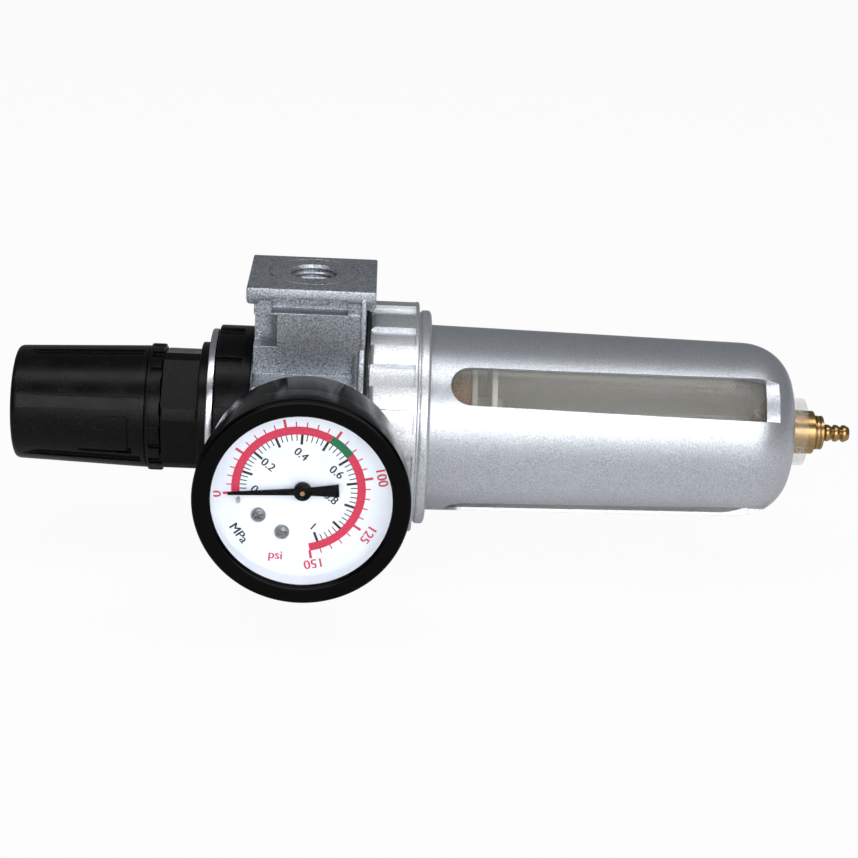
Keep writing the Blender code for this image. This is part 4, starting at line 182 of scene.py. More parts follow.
def box(corner, opposite, bevel=0.0):
    shape = bmesh.new()
    size = [abs(b - a) for a, b in zip(corner, opposite)]
    middle = [(a + b) / 2 for a, b in zip(corner, opposite)]
    bmesh.ops.create_cube(shape, size=1.0)
    bmesh.ops.scale(shape, vec=size, verts=shape.verts)
    bmesh.ops.translate(shape, vec=middle, verts=shape.verts)
    if bevel:
        bmesh.ops.bevel(shape, geom=shape.edges[:], offset=bevel, segments=3, profile=0.5, affect="EDGES")
    return shape


def skin(rows):
    """A closed solid through rows that have as many points each."""
    shape = bmesh.new()
    loops = [[shape.verts.new(point) for point in row] for row in rows]
    shape.faces.new(loops[0])
    shape.faces.new(loops[-1][::-1])
    for near, far in zip(loops, loops[1:]):
        for k in range(len(near)):
            following = (k + 1) % len(near)
            shape.faces.new((near[k], far[k], far[following], near[following]))
    bmesh.ops.recalc_face_normals(shape, faces=shape.faces)
    return shape


def arc_block(radii, stations, centre, width, steps=6):
    """A block between two radii and two stations, width degrees wide round centre."""
    (inner, outer), (start, end) = radii, stations
    corners = ((inner, start), (outer, start), (outer, end), (inner, end))
    rows = []
    for i in range(steps + 1):
        angle = centre - width / 2 + width * i / steps
        rows.append([(*polar(radius, angle), station) for radius, station in corners])
    return skin(rows)


def plate(outline, low, high):
    """A flat outline of (x, y) given thickness along the third axis."""
    return skin([[(x, y, station) for x, y in outline] for station in (low, high)])


def gather(shapes):
    """Several shapes in one."""
    whole = bmesh.new()
    for shape in shapes:
        mesh = bpy.data.meshes.new("part")
        shape.to_mesh(mesh)
        shape.free()
        whole.from_mesh(mesh)
        bpy.data.meshes.remove(mesh)
    return whole


def put(name, data):
    """A new object in the scene."""
    item = bpy.data.objects.new(name, data)
    bpy.context.scene.collection.objects.link(item)
    return item


def thing(name, shape, place=None):
    mesh = bpy.data.meshes.new(name)
    shape.to_mesh(mesh)
    shape.free()
    if place:
        mesh.transform(place)
    return put(name, mesh)


def combine(target, shape, operation="DIFFERENCE"):
    """Cuts a shape out of a piece, or joins it to the piece."""
    tool = thing("tool", shape)
    step = target.modifiers.new("cut", "BOOLEAN")
    step.operation = operation
    step.solver = "EXACT"
    step.object = tool
    graph = bpy.context.evaluated_depsgraph_get()
    mesh = bpy.data.meshes.new_from_object(target.evaluated_get(graph))
    target.modifiers.clear()
    old, target.data = target.data, mesh
    bpy.data.meshes.remove(old)
    spent = tool.data
    bpy.data.objects.remove(tool)
    bpy.data.meshes.remove(spent)


def notch_round(target, count, first, radii, stations, width):
    """Cuts a block out of a piece, count times round the third axis."""
    blocks = [arc_block(radii, stations, first + 360.0 * i / count, width) for i in range(count)]
    combine(target, gather(blocks))


def dress(item, surface, slot, *nodes, body="housing", angle=32, place=None):
    """Gives a piece its place, its finish and the body it rides on, and hides the CAD nodes that it stands
    for.
    """
    if place:
        item.data.transform(place)
    item.data.materials.clear()
    item.data.materials.append(surface)
    if item.type == "MESH":
        item.data.polygons.foreach_set("use_smooth", [True] * len(item.data.polygons))
        item.data.set_sharp_from_angle(angle=math.radians(angle))
    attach(item, body)
    for node in nodes:
        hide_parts(node)


def turned(
    name, profile, rounding, place, surface, slot, *nodes, body="housing", corner_steps=3, steps=STEPS
):
    """A piece that is turned from one profile."""
    made = thing(name, lathe(soften(profile, rounding, corner_steps), steps), place)
    dress(made, surface, slot, *nodes, body=body)


# Finishes
def linear(color):
    """Turns a colour of 0 to 255 into linear light."""
    light = []
    for value in color:
        value = value / 255
        light.append(value / 12.92 if value <= 0.04045 else ((value + 0.055) / 1.055) ** 2.4)
    return (*light, 1.0)


class Tree:
    """A node tree with few words."""

    def __init__(self, owner):
        owner.use_nodes = True
        self.tree = owner.node_tree
        self.nodes = self.tree.nodes

    def add(self, kind, **settings):
        node = self.nodes.new(kind)
        for key, value in settings.items():
            setattr(node, key, value)
        return node

    def link(self, source, target):
        self.tree.links.new(source, target)

    def feed(self, socket, value):
        """Links a node's output to a socket, or sets the socket to a value."""
        if hasattr(value, "node"):
            self.link(value, socket)
        else:
            socket.default_value = value

    def math(self, operation, first, second=0.0):
        node = self.add("ShaderNodeMath", operation=operation)
        self.feed(node.inputs[0], first)
        self.feed(node.inputs[1], second)
        return node.outputs[0]


class Paint(Tree):
    """A material in which every texture reads object coordinates, in metres."""

    def __init__(self, name):
        self.material = bpy.data.materials.new(name)
        super().__init__(self.material)
        self.shader = self.nodes["Principled BSDF"]
        self.place = self.add("ShaderNodeTexCoord").outputs["Object"]

    def set(self, **values):
        for key, value in values.items():
            self.shader.inputs[key.replace("_", " ")].default_value = value

    def noise(self, size, detail=2.0, roughness=0.5, stretch=None):
        node = self.add("ShaderNodeTexNoise")
        node.inputs["Scale"].default_value = 1 / size
        node.inputs["Detail"].default_value = detail
        node.inputs["Roughness"].default_value = roughness
        place = self.place
        if stretch:
            mapping = self.add("ShaderNodeMapping")
            mapping.inputs["Scale"].default_value = stretch
            self.link(place, mapping.inputs["Vector"])
            place = mapping.outputs["Vector"]
        self.link(place, node.inputs["Vector"])
        return node.outputs["Fac"]

    def spots(self, size):
        node = self.add("ShaderNodeTexVoronoi")
        node.inputs["Scale"].default_value = 1 / size
        self.link(self.place, node.inputs["Vector"])
        return node.outputs["Distance"]

    def spread(self, source, low, high, to_low=0.0, to_high=1.0):
        node = self.add("ShaderNodeMapRange")
        for key, value in (("From Min", low), ("From Max", high), ("To Min", to_low), ("To Max", to_high)):
            node.inputs[key].default_value = value
        self.link(source, node.inputs["Value"])
        return node.outputs["Result"]

    def mix(self, factor, first, second):
        """Mixes two colours, each a node's output or a colour of 0 to 255."""
        node = self.add("ShaderNodeMix", data_type="RGBA")
        for socket, value in ((0, factor), (6, first), (7, second)):
            self.feed(node.inputs[socket], linear(value) if isinstance(value, tuple) else value)
        return node.outputs[2]

    def edges(self, size):
        """About 1 within this distance of a sharp edge, and 0 on flat faces."""
        bevel = self.add("ShaderNodeBevel", samples=6)
        bevel.inputs["Radius"].default_value = size
        normal = self.add("ShaderNodeNewGeometry").outputs["Normal"]
        dot = self.add("ShaderNodeVectorMath", operation="DOT_PRODUCT")
        self.link(bevel.outputs["Normal"], dot.inputs[0])
        self.link(normal, dot.inputs[1])
        return self.spread(dot.outputs["Value"], 0.99, 0.75)

    def bump(self, height, strength, distance, rounding=0.0):
        node = self.add("ShaderNodeBump")
        node.inputs["Strength"].default_value = strength
        node.inputs["Distance"].default_value = distance
        self.link(height, node.inputs["Height"])
        if rounding:
            bevel = self.add("ShaderNodeBevel", samples=4)
            bevel.inputs["Radius"].default_value = rounding
            self.link(bevel.outputs["Normal"], node.inputs["Normal"])
        self.link(node.outputs["Normal"], self.shader.inputs["Normal"])

    def color(self, source):
        self.link(source, self.shader.inputs["Base Color"])

    def rough(self, source):
        self.link(source, self.shader.inputs["Roughness"])


def silver(name, dark, light, grain, rough, edge_wear_and_light, glint_share):
    """Sand-textured silver paint: dark and light flecks, painted glints, soft clouds, and edges whitened
    partly as wear and partly as painted highlight.
    """
    paint = Paint(name)
    fleck = paint.noise(grain, 3.0, 0.65)
    cloud = paint.noise(9 * MM, 2.0)
    # Near-white specks in the base colour: painted glints of the paint's flakes.
    glint_specks = paint.spread(paint.noise(0.7 * grain, 2.0, 0.7), 0.6, 0.7, 0.0, glint_share)
    base = paint.mix(paint.spread(fleck, 0.36, 0.64), dark, light)
    base = paint.mix(paint.spread(cloud, 0.3, 0.7, 0.0, 0.16), base, light)
    base = paint.mix(glint_specks, base, (250, 250, 252))
    # Edges mixed towards near white and broken into patches: partly worn paint, partly a painted highlight
    # along the edges.
    edge_breakup = paint.spread(paint.noise(1.1 * MM, 3.0), 0.42, 0.6)
    worn_and_lit_edges = paint.math("MULTIPLY", paint.edges(0.3 * MM), edge_breakup)
    worn_and_lit_edges = paint.math("MULTIPLY", worn_and_lit_edges, edge_wear_and_light)
    paint.color(paint.mix(worn_and_lit_edges, base, (252, 252, 252)))
    paint.rough(paint.spread(fleck, 0.3, 0.7, rough + 0.07, rough - 0.07))
    paint.set(Metallic=0.82)
    paint.bump(fleck, 0.45, 0.12 * MM, 0.2 * MM)
    return paint.material


def moulded(name, color, gray, speck, rough, coat=0.0, gloss=0.35):
    """Black moulding with pale dust in its pores, and edges painted paler as a painted edge highlight."""
    paint = Paint(name)
    pores = paint.noise(0.22 * MM, 2.0, 0.6)
    cloud = paint.noise(6 * MM, 3.0)
    dusty = paint.spread(cloud, 0.45, 0.65, 0.15, speck)
    dust = paint.math("MULTIPLY", paint.spread(pores, 0.6, 0.76), dusty)
    base = paint.mix(dust, color, gray)
    # Edges mixed 16 % towards the gray colour: a painted edge highlight on the dark mouldings; on the white
    # moulding the gray is darker, so there it is painted edge shade.
    paint.color(paint.mix(paint.math("MULTIPLY", paint.edges(0.16 * MM), 0.16), base, gray))
    paint.rough(paint.spread(cloud, 0.3, 0.7, rough - 0.05, rough + 0.06))
    paint.set(Specular_IOR_Level=gloss, Coat_Weight=coat, Coat_Roughness=0.08)
    paint.bump(pores, 0.22, 0.05 * MM, 0.18 * MM)
    return paint.material


def plated(name, color, dark, rough, stretch=(1, 1, 1)):
    """Turned or plated metal with fine rings."""
    paint = Paint(name)
    rings = paint.noise(0.5 * MM, 2.0, 0.6, stretch)
    stain = paint.noise(3 * MM, 3.0)
    base = paint.mix(paint.spread(rings, 0.35, 0.65, 0.0, 0.35), color, dark)
    base = paint.mix(paint.spread(stain, 0.55, 0.8, 0.0, 0.3), base, dark)
    paint.color(base)
    paint.rough(paint.spread(stain, 0.3, 0.7, rough - 0.04, rough + 0.08))
    paint.set(Metallic=1.0)
    paint.bump(rings, 0.12, 0.04 * MM, 0.15 * MM)
    return paint.material


def bronze():
    paint = Paint("sintered_bronze")
    grains = paint.spots(0.55 * MM)
    cloud = paint.noise(2 * MM, 3.0)
    base = paint.mix(paint.spread(grains, 0.05, 0.5), (232, 162, 92), (110, 66, 34))
    paint.color(paint.mix(paint.spread(cloud, 0.4, 0.7, 0.0, 0.4), base, (196, 146, 100)))
    paint.set(Metallic=0.1, Roughness=0.62)
    paint.bump(paint.spread(grains, 0.0, 0.5, 1.0, 0.0), 0.8, 0.2 * MM)
    return paint.material


def clear_plastic(name, tint, rough, absorb, haze, streaks=0.0, ior=1.5, cover=1.0):
    """Clear plastic with flow marks: haze is the share that scatters light, cover the share that stops it."""
    paint = Paint(name)
    flow = paint.noise(2.2 * MM, 2.0, 0.5, (0.08, 1, 1))
    fine = paint.noise(0.8 * MM, 2.0)
    paint.color(paint.mix(paint.spread(flow, 0.4, 0.7, 0.0, 0.5), tint, absorb))
    paint.rough(paint.spread(fine, 0.3, 0.7, rough, rough + 0.06))
    paint.set(Transmission_Weight=1.0 - haze, IOR=ior, Alpha=cover)
    if streaks:
        paint.bump(flow, streaks, 0.15 * MM)
    return paint.material


def enamel():
    """The dial's white enamel: near white, with a very faint bluish cloud."""
    paint = Paint("dial_enamel")
    cloud = paint.noise(8 * MM, 2.0)
    fine = paint.noise(0.3 * MM, 2.0)
    paint.color(paint.mix(paint.spread(cloud, 0.3, 0.7), (240, 243, 249), (230, 234, 242)))
    paint.rough(paint.spread(fine, 0.3, 0.7, 0.5, 0.6))
    paint.bump(fine, 0.05, 0.02 * MM)
    return paint.material


def ink(name, color, thin):
    """Screen-printed ink with slightly uneven cover."""
    paint = Paint(name)
    cover = paint.noise(0.35 * MM, 2.0)
    paint.color(paint.mix(paint.spread(cover, 0.55, 0.75, 0.0, 0.35), color, thin))
    paint.rough(paint.spread(cover, 0.3, 0.7, 0.5, 0.65))
    return paint.material


def rubber():
    paint = Paint("nitrile_rubber")
    pores = paint.noise(0.3 * MM, 3.0)
    paint.color(paint.mix(paint.spread(pores, 0.4, 0.7), (18, 18, 19), (34, 34, 36)))
    paint.rough(paint.spread(pores, 0.3, 0.7, 0.55, 0.75))
    paint.bump(pores, 0.2, 0.05 * MM)
    return paint.material


CAST = silver("cast_silver", (84, 90, 98), (200, 206, 214), 0.42 * MM, 0.36, 0.9, 0.7)
NUT = silver("nut_silver", (172, 176, 181), (232, 235, 239), 0.36 * MM, 0.32, 0.35, 0.3)
SHELL = silver("shell_silver", (156, 160, 167), (214, 218, 224), 0.28 * MM, 0.32, 0.25, 0.25)
BLACK = moulded("black_moulding", (3, 3, 4), (120, 120, 124), 0.4, 0.3, gloss=0.14)
GLOSS = moulded("gauge_enamel", (1, 1, 2), (60, 60, 64), 0.08, 0.08, gloss=0.08)
SCREW = plated("screw_steel", (150, 150, 150), (34, 34, 34), 0.25)
ZINC = plated("zinc_plate", (214, 216, 222), (150, 152, 160), 0.24, (6, 1, 1))
STEEL = plated("plain_steel", (190, 191, 196), (112, 113, 118), 0.3)
BRASS = plated("turned_brass", (182, 150, 104), (98, 74, 42), 0.24, (5, 1, 1))
BRONZE = bronze()
CLEAR = clear_plastic("clear_polycarbonate", (232, 229, 220), 0.03, (206, 201, 186), 0.3, 0.35, 1.4, 0.28)
GLASS = clear_plastic("gauge_glass", (252, 254, 255), 0.0, (250, 252, 254), 0.0, ior=1.12)
WHITE = moulded("white_moulding", (214, 214, 208), (186, 184, 172), 0.5, 0.45)
DIAL = enamel()
INK = ink("black_ink", (20, 20, 22), (52, 52, 56))
RED = ink("red_ink", (205, 40, 74), (214, 84, 110))
GREEN = ink("green_ink", (0, 106, 62), (44, 138, 98))
RUBBER = rubber()

# Knob
KNOB_SIDE = 14.8 * MM
KNOB_SKIRT = 16.0 * MM
KNOB_RING_WIDTH = 3.6 * MM
KNOB_GROOVE = 0.3 * MM
KNOB_FLUTES = 6
KNOB_FLUTE_DEG = 13.0
KNOB_FLUTE_DEPTH = 0.9 * MM
KNOB_FLUTE_PHASE = 20.8
KNOB_NOTCHES = 16
KNOB_NOTCH_DEG = 11.25
KNOB_NOTCH_PHASE = 52.0
KNOB_NOTCH_DEPTH = 1.0 * MM
KNOB_NOTCH_RIM = 0.7 * MM
LATCH_ARC = (-32.0, 12.6)
LATCH_LENGTH = 13.8 * MM
LATCH_STANDOFF = 3.3 * MM
LATCH_GROOVE = 1.2 * MM
LATCH_DEPTH = 0.8 * MM
KNOB_BORE = 13.0 * MM
KNOB_WALL = 2.6 * MM
KNOB_ROUND = 1.1 * MM


def knob():
    start, end = along("knob")
    ring = reach("knob")
    ring_x = end - KNOB_RING_WIDTH
    skirt_x = ring_x - KNOB_GROOVE
    inner = start + KNOB_WALL
    profile = [
        (start, 0),
        (start, KNOB_SIDE - KNOB_ROUND),
        (start + 0.3 * KNOB_ROUND, KNOB_SIDE - 0.3 * KNOB_ROUND),
        (start + KNOB_ROUND, KNOB_SIDE),
        (skirt_x, KNOB_SKIRT),
        *stairs(skirt_x, (KNOB_SKIRT - 0.5 * MM, ring_x), (ring, end), (KNOB_BORE, inner)),
        (inner, 0),
    ]
    made = thing("knob_shell", lathe(soften(profile, 0.35 * MM)))
    flutes = []
    for i in range(KNOB_FLUTES):
        flutes.append(knob_flute(start, skirt_x, from_front(KNOB_FLUTE_PHASE) + 360.0 * i / KNOB_FLUTES))
    combine(made, gather(flutes))
    radii, stations = (ring - KNOB_NOTCH_DEPTH, ring + 2 * MM), (ring_x + KNOB_NOTCH_RIM, end + MM)
    notch_round(made, KNOB_NOTCHES, from_front(KNOB_NOTCH_PHASE), radii, stations, KNOB_NOTCH_DEG)
    for groove in latch_grooves(start, skirt_x):
        combine(made, groove)
    dress(made, BLACK, "black_plastic", "knob", body="knob", place=MAIN)


def latch_grooves(start, skirt_x):
    """The U-shaped grooves round the two snap tongues."""
    latch_end = skirt_x - LATCH_STANDOFF
    latch_start = latch_end - LATCH_LENGTH
    middle = (latch_start + latch_end) / 2
    mean = KNOB_SIDE + (KNOB_SKIRT - KNOB_SIDE) * (middle - start) / (skirt_x - start)
    radii = (mean - LATCH_DEPTH, mean + 2 * MM)
    edge = math.degrees(LATCH_GROOVE / mean)
    for turn in (0.0, 180.0):
        low, high = (from_front(angle) + turn for angle in LATCH_ARC[::-1])
        for centre in (low + edge / 2, high - edge / 2):
            yield arc_block(radii, (latch_start, latch_end - 0.1 * MM), centre, edge, 2)
        yield arc_block(radii, (latch_end - LATCH_GROOVE, latch_end), (low + high) / 2, high - low, 12)


def knob_flute(start, end, centre):
    """A shallow lengthwise groove whose floor runs out at the closed end."""
    half = KNOB_FLUTE_DEG / 2
    stations = (
        (start + 0.8 * MM, KNOB_SIDE + 0.3 * MM),
        (start + 6.5 * MM, KNOB_SIDE - KNOB_FLUTE_DEPTH + 0.2 * MM),
        (end - 1.2 * MM, KNOB_SKIRT - KNOB_FLUTE_DEPTH),
    )
    outside = KNOB_SKIRT + 2 * MM
    rows = []
    for station, floor in stations:
        corners = ((floor, -1), (floor, 0), (floor, 1), (outside, 1), (outside, -1))
        rows.append([(*polar(radius, centre + side * half), station) for radius, side in corners])
    return skin(rows)


# Bonnet and its clamping nut
TUBE_R = 12.2 * MM
HEX_CORNER = 16.5 * MM
HEX_APOTHEM = 15.0 * MM
HEX_PHASE = 43.0
HEX_LENGTH = 9.3 * MM
BELL_R = 17.5 * MM
BELL_LENGTH = 6.1 * MM
BONNET_FLANGE_THICK = 1.4 * MM
SPRING_BORE = 10.6 * MM
BELL_BORE = 15.2 * MM
HEAD_HOLE = 5.2 * MM
NUT_GROOVES = 10
NUT_GROOVE_DEG = 13.0
NUT_GROOVE_DEPTH = 1.2 * MM
NUT_GROOVE_RIM = 2.3 * MM
NUT_GROOVE_PHASE = 50.5


def bonnet():
    start, end = along("bonnet")
    flange_x = end - BONNET_FLANGE_THICK
    bell_x = flange_x - BELL_LENGTH
    hex_x = bell_x - HEX_LENGTH
    rim = reach("bonnet")
    throat_x, head_x = end - 10.6 * MM, start + 2.5 * MM
    profile = [
        *stairs(start, (TUBE_R, hex_x), (HEX_CORNER, bell_x), (BELL_R, flange_x), (rim, end)),
        *stairs(end, (BELL_BORE, end - 6.6 * MM)),
        *stairs(throat_x, (SPRING_BORE, head_x), (HEAD_HOLE, start)),
    ]
    made = thing("bonnet_shell", lathe(soften(profile, 0.5 * MM, 6)))
    near, far = (HEX_APOTHEM, -HEX_CORNER, hex_x - MM), (HEX_CORNER + 2 * MM, HEX_CORNER, bell_x - TOUCH)
    for i in range(6):
        block = box(near, far)
        block.transform(spin(from_front(HEX_PHASE) + 60.0 * i))
        combine(made, block)
    dress(made, BLACK, "black_plastic", "bonnet", angle=17, place=MAIN)

    start, end = along("bonnet_ring_nut")
    outer = reach("bonnet_ring_nut")
    lip = start + 1.2 * MM
    profile = stairs(start, (outer, end), (rim + GAP, lip), (BELL_R + GAP, start))
    made = thing("clamping_nut", lathe(soften(profile, 0.45 * MM)))
    radii, stations = (outer - NUT_GROOVE_DEPTH, outer + 2 * MM), (start - MM, end - NUT_GROOVE_RIM)
    notch_round(made, NUT_GROOVES, from_front(NUT_GROOVE_PHASE), radii, stations, NUT_GROOVE_DEG)
    dress(made, BLACK, "black_plastic", "bonnet_ring_nut", place=MAIN)

    start, end = along("mounting_ring")
    profile = stairs(start, (reach("mounting_ring"), end), (BELL_R + GAP, start))
    turned("zinc_ring", profile, 0.4 * MM, MAIN, ZINC, "zinc_plate", "mounting_ring")


# Body casting
FLANGE_X = 16.25 * MM
FLANGE_FRONT = 16.5 * MM
FLANGE_BACK = 13.8 * MM
FLANGE_THICK = 3.3 * MM
NECK_LEFT = -14.3 * MM
NECK_RIGHT = 14.0 * MM
NECK_INSET = 0.5 * MM
BLOCK_Y = 27.0 * MM
BLOCK_Z = 15.9 * MM
BLOCK_RIGHT = 12.0 * MM
SHOULDER_R = 29.0 * MM
SHOULDER_THICK = 3.2 * MM
SHOULDER_RIM = 1.6 * MM
SHOULDER_STEP = 0.8 * MM
RIB_START = 12.0 * MM
EDGE_RIB = 1.0 * MM
EDGE_RIB_THICK = 1.4 * MM
POCKET_X = (-10.1 * MM, 9.4 * MM)
POCKET_HEIGHT = 4.3 * MM
POCKET_DEPTH = 2.6 * MM
POCKET_LIP = 2.2 * MM
POCKET_SLOT = (1.4 * MM, 2.4 * MM)
POCKET_STEP = (3.0 * MM, 0.6 * MM)
LUG_DEPTH = 3.0 * MM
LUGS = (
    (FLANGE_X - 3.6 * MM, FLANGE_X - TOUCH, 1.7 * MM),
    (-FLANGE_X + TOUCH, -FLANGE_X + 3.4 * MM, 1.1 * MM),
)
SCOOP_R = 6.0 * MM
SCOOP_HIGH = HALF_HEIGHT - 7.0 * MM
SCOOP_LOW = SCOOP_HIGH - 8.4 * MM
PORT_MOUTH_R = 6.6 * MM
PORT_THREAD_R = 5.9 * MM
PORT_DEPTH = 14.5 * MM
THREAD_PITCH = 1.34 * MM
SPOTFACE_R = 11.2 * MM
SPOTFACE_DEPTH = 0.35 * MM
SPIGOT_R = 27.2 * MM
SPIGOT_END = 23.0 * MM
RECESS_R = 24.2 * MM
RECESS_FLOOR = 16.5 * MM
CHAMBER_FLOOR = -13.0 * MM
COLLAR_R = 19.6 * MM
GAUGE_BOSS_R = 8.6 * MM
GAUGE_BOSS_END = 28.2 * MM
GAUGE_PORT_R = 5.0 * MM


def port_socket(side):
    """The bore with its thread ridges and the chamfered mouth, as one cutting tool."""
    above, floor = HALF_HEIGHT + MM, HALF_HEIGHT - PORT_DEPTH
    profile = [(above, 0), (above, PORT_MOUTH_R + MM), (HALF_HEIGHT - 0.7 * MM, PORT_THREAD_R)]
    station = HALF_HEIGHT - 0.9 * MM
    while station > floor + THREAD_PITCH:
        profile.append((station, PORT_THREAD_R))
        profile.append((station - 0.5 * THREAD_PITCH, PORT_MOUTH_R - 0.1 * MM))
        station -= THREAD_PITCH
    profile += [(station, PORT_THREAD_R), (floor, PORT_THREAD_R), (floor, 0)]
    shape = lathe(profile, 64)
    if side < 0:
        shape.transform(Matrix.Rotation(math.pi, 4, "X"))
    return shape


def rod(radius, low, high, steps=48):
    """A straight rod between two points of the part's own axes."""
    low, high = Vector(low), Vector(high)
    shape = bmesh.new()
    bmesh.ops.create_cone(
        shape, cap_ends=True, segments=steps, radius1=radius, radius2=radius, depth=(high - low).length
    )
    turn = (high - low).to_track_quat("Z", "Y").to_matrix().to_4x4()
    shape.transform(Matrix.Translation((low + high) / 2) @ turn)
    return shape


def body_casting():
    front, back = -FLANGE_FRONT + NECK_INSET, FLANGE_BACK - NECK_INSET
    corner, opposite = (NECK_LEFT, front, -HALF_HEIGHT + MM), (NECK_RIGHT, back, HALF_HEIGHT - MM)
    made = thing("casting", box(corner, opposite, 0.35 * MM))
    for side in (1, -1):
        corner = (-FLANGE_X, -FLANGE_FRONT, side * HALF_HEIGHT)
        opposite = (FLANGE_X, FLANGE_BACK, side * (HALF_HEIGHT - FLANGE_THICK))
        combine(made, box(corner, opposite, 0.45 * MM), "UNION")
        for left, right, drop in LUGS:
            for face, inward in ((-FLANGE_FRONT, 1), (FLANGE_BACK, -1)):
                corner = (left, face + inward * TOUCH, side * (HALF_HEIGHT - MM))
                opposite = (right, face + inward * LUG_DEPTH, side * (HALF_HEIGHT - FLANGE_THICK - drop))
                combine(made, box(corner, opposite, 0.9 * MM), "UNION")
    corner, opposite = (NECK_LEFT - 0.2 * MM, -BLOCK_Y, -BLOCK_Z), (BLOCK_RIGHT, BLOCK_Y, BLOCK_Z)
    combine(made, box(corner, opposite, 1.0 * MM), "UNION")
    shoulder_x, step_r = NECK_RIGHT - SHOULDER_THICK, SHOULDER_R - SHOULDER_STEP
    shoulder = [
        (shoulder_x, 0),
        (shoulder_x, step_r - 1.6 * MM),
        (shoulder_x + 0.5 * MM, step_r - 0.5 * MM),
        (NECK_RIGHT - SHOULDER_RIM, step_r),
        *stairs(NECK_RIGHT - SHOULDER_RIM, (SHOULDER_R, NECK_RIGHT), (SPIGOT_R, SPIGOT_END)),
        (SPIGOT_END, 0),
    ]
    combine(made, on_axis(soften(shoulder, 0.7 * MM)), "UNION")
    collar = stairs(-COLLAR_REACH, (COLLAR_R, NECK_LEFT + MM), (0, -COLLAR_REACH))
    combine(made, on_axis(soften(collar, 0.4 * MM)), "UNION")
    x = GAUGE_AXIS.x - AXIS.x
    for side in (1, -1):
        corner = (NECK_RIGHT - EDGE_RIB_THICK, front - EDGE_RIB, side * RIB_START)
        opposite = (NECK_RIGHT - 0.1 * MM, back + EDGE_RIB, side * (HALF_HEIGHT - 0.6 * FLANGE_THICK))
        combine(made, box(corner, opposite, 0.35 * MM), "UNION")
        boss = rod(GAUGE_BOSS_R, (x, side * (BLOCK_Y - 2 * MM), 0), (x, side * GAUGE_BOSS_END, 0), 64)
        combine(made, boss, "UNION")
    for shape in body_cuts(x):
        combine(made, shape)
    dress(made, CAST, "silver_casting", "body_casting", angle=28, place=PORTS)


def on_axis(profile):
    """A profile turned about the main axis, in the casting's own axes."""
    shape = lathe(profile)
    shape.transform(PORTS.inverted() @ MAIN)
    return shape


def body_cuts(x):
    """The casting's pockets, scoops, ports, gauge ports at x, spring chamber and bowl recess."""
    left, right = POCKET_X
    inset = right - 0.2 * MM
    for side in (1, -1):
        lip = side * (HALF_HEIGHT - POCKET_LIP)
        floor = lip - side * POCKET_HEIGHT
        above_floor = floor + side * TOUCH
        for face, inward in ((-FLANGE_FRONT, 1), (FLANGE_BACK, -1)):
            depth = POCKET_DEPTH + NECK_INSET
            yield box((left, face - inward * 2 * MM, lip), (right, face + inward * depth, floor))
            corner = (left + 0.2 * MM, face + inward * POCKET_DEPTH, above_floor)
            yield box(corner, (inset, face + inward * (depth + POCKET_SLOT[1]), floor + side * POCKET_SLOT[0]))
            step_y = face + inward * (NECK_INSET + POCKET_STEP[1])
            opposite = (right + POCKET_STEP[0], step_y, side * (HALF_HEIGHT - FLANGE_THICK))
            yield box((inset, face - inward * MM, above_floor), opposite)
        for y in (-FLANGE_FRONT + NECK_INSET, FLANGE_BACK - NECK_INSET):
            yield rod(SCOOP_R, (NECK_LEFT, y, side * SCOOP_LOW), (NECK_LEFT, y, side * SCOOP_HIGH), 64)
        yield port_socket(side)
        above, floor = HALF_HEIGHT + MM, HALF_HEIGHT - SPOTFACE_DEPTH
        ring = lathe(stairs(floor, (SPOTFACE_R, above), (SPOTFACE_R + 0.3 * MM, floor)))
        if side < 0:
            ring.transform(Matrix.Rotation(math.pi, 4, "X"))
        yield ring
        yield rod(GAUGE_PORT_R, (x, side * (GAUGE_BOSS_END + MM), 0), (x, side * 17 * MM, 0))
    mouth = -COLLAR_REACH - MM
    yield on_axis(stairs(mouth, (BELL_BORE + GAP, CHAMBER_FLOOR), (0, mouth)))
    yield on_axis(stairs(RECESS_FLOOR, (RECESS_R, SPIGOT_END + MM), (0, RECESS_FLOOR)))


# Bowl nut, seal, guard and bowl
NUT_LANDS = 16
NUT_PHASE = 28.6
NUT_RIM_WIDTH = 2.6 * MM
NUT_RIM_STEP = 2.15 * MM
NUT_LINE = 0.7 * MM
NUT_RECESS = 1.1 * MM
NUT_CHAMFER = 0.9 * MM
GUARD_R = 24.35 * MM
GUARD_TAPER = 1.4 * MM
GUARD_DOME = 13.0 * MM
GUARD_WALL = 0.9 * MM
BOWL_GAP = 0.15 * MM
GUARD_DOME_WALL = 4.2 * MM
GUARD_FACE_R = 11.6 * MM
BOSS_R = 8.9 * MM
BOSS_SHORT = 1.2 * MM
DRAIN_HOLE = 6.0 * MM
WINDOW_DEG = 24.7
WINDOW_END_DEG = 30.0
WINDOW_AXIS = -8.2
WINDOW_SPREAD = 48.8
WINDOW_STANDOFF = 5.1 * MM
WINDOW_END = 9.0 * MM
LEDGE_DEG = 29.4
LEDGE_END = 5.6 * MM
LEDGE_DEPTH = 2.1 * MM
BOWL_WALL = 2.2 * MM


def dome(start_x, end_x, start_r, face_r, steps=14):
    """A quarter ellipse from the side wall to the end face, as (station, radius)."""
    points = []
    for i in range(steps + 1):
        across, out = polar(1.0, 90.0 * i / steps)
        points.append((start_x + (end_x - start_x) * out, face_r + (start_r - face_r) * across))
    return points


def guard_radius(station):
    nut_end = along("bowl_ring_nut")[1]
    dome_x = along("bowl_guard")[1] - GUARD_DOME
    return GUARD_R - GUARD_TAPER * (station - nut_end) / (dome_x - nut_end)


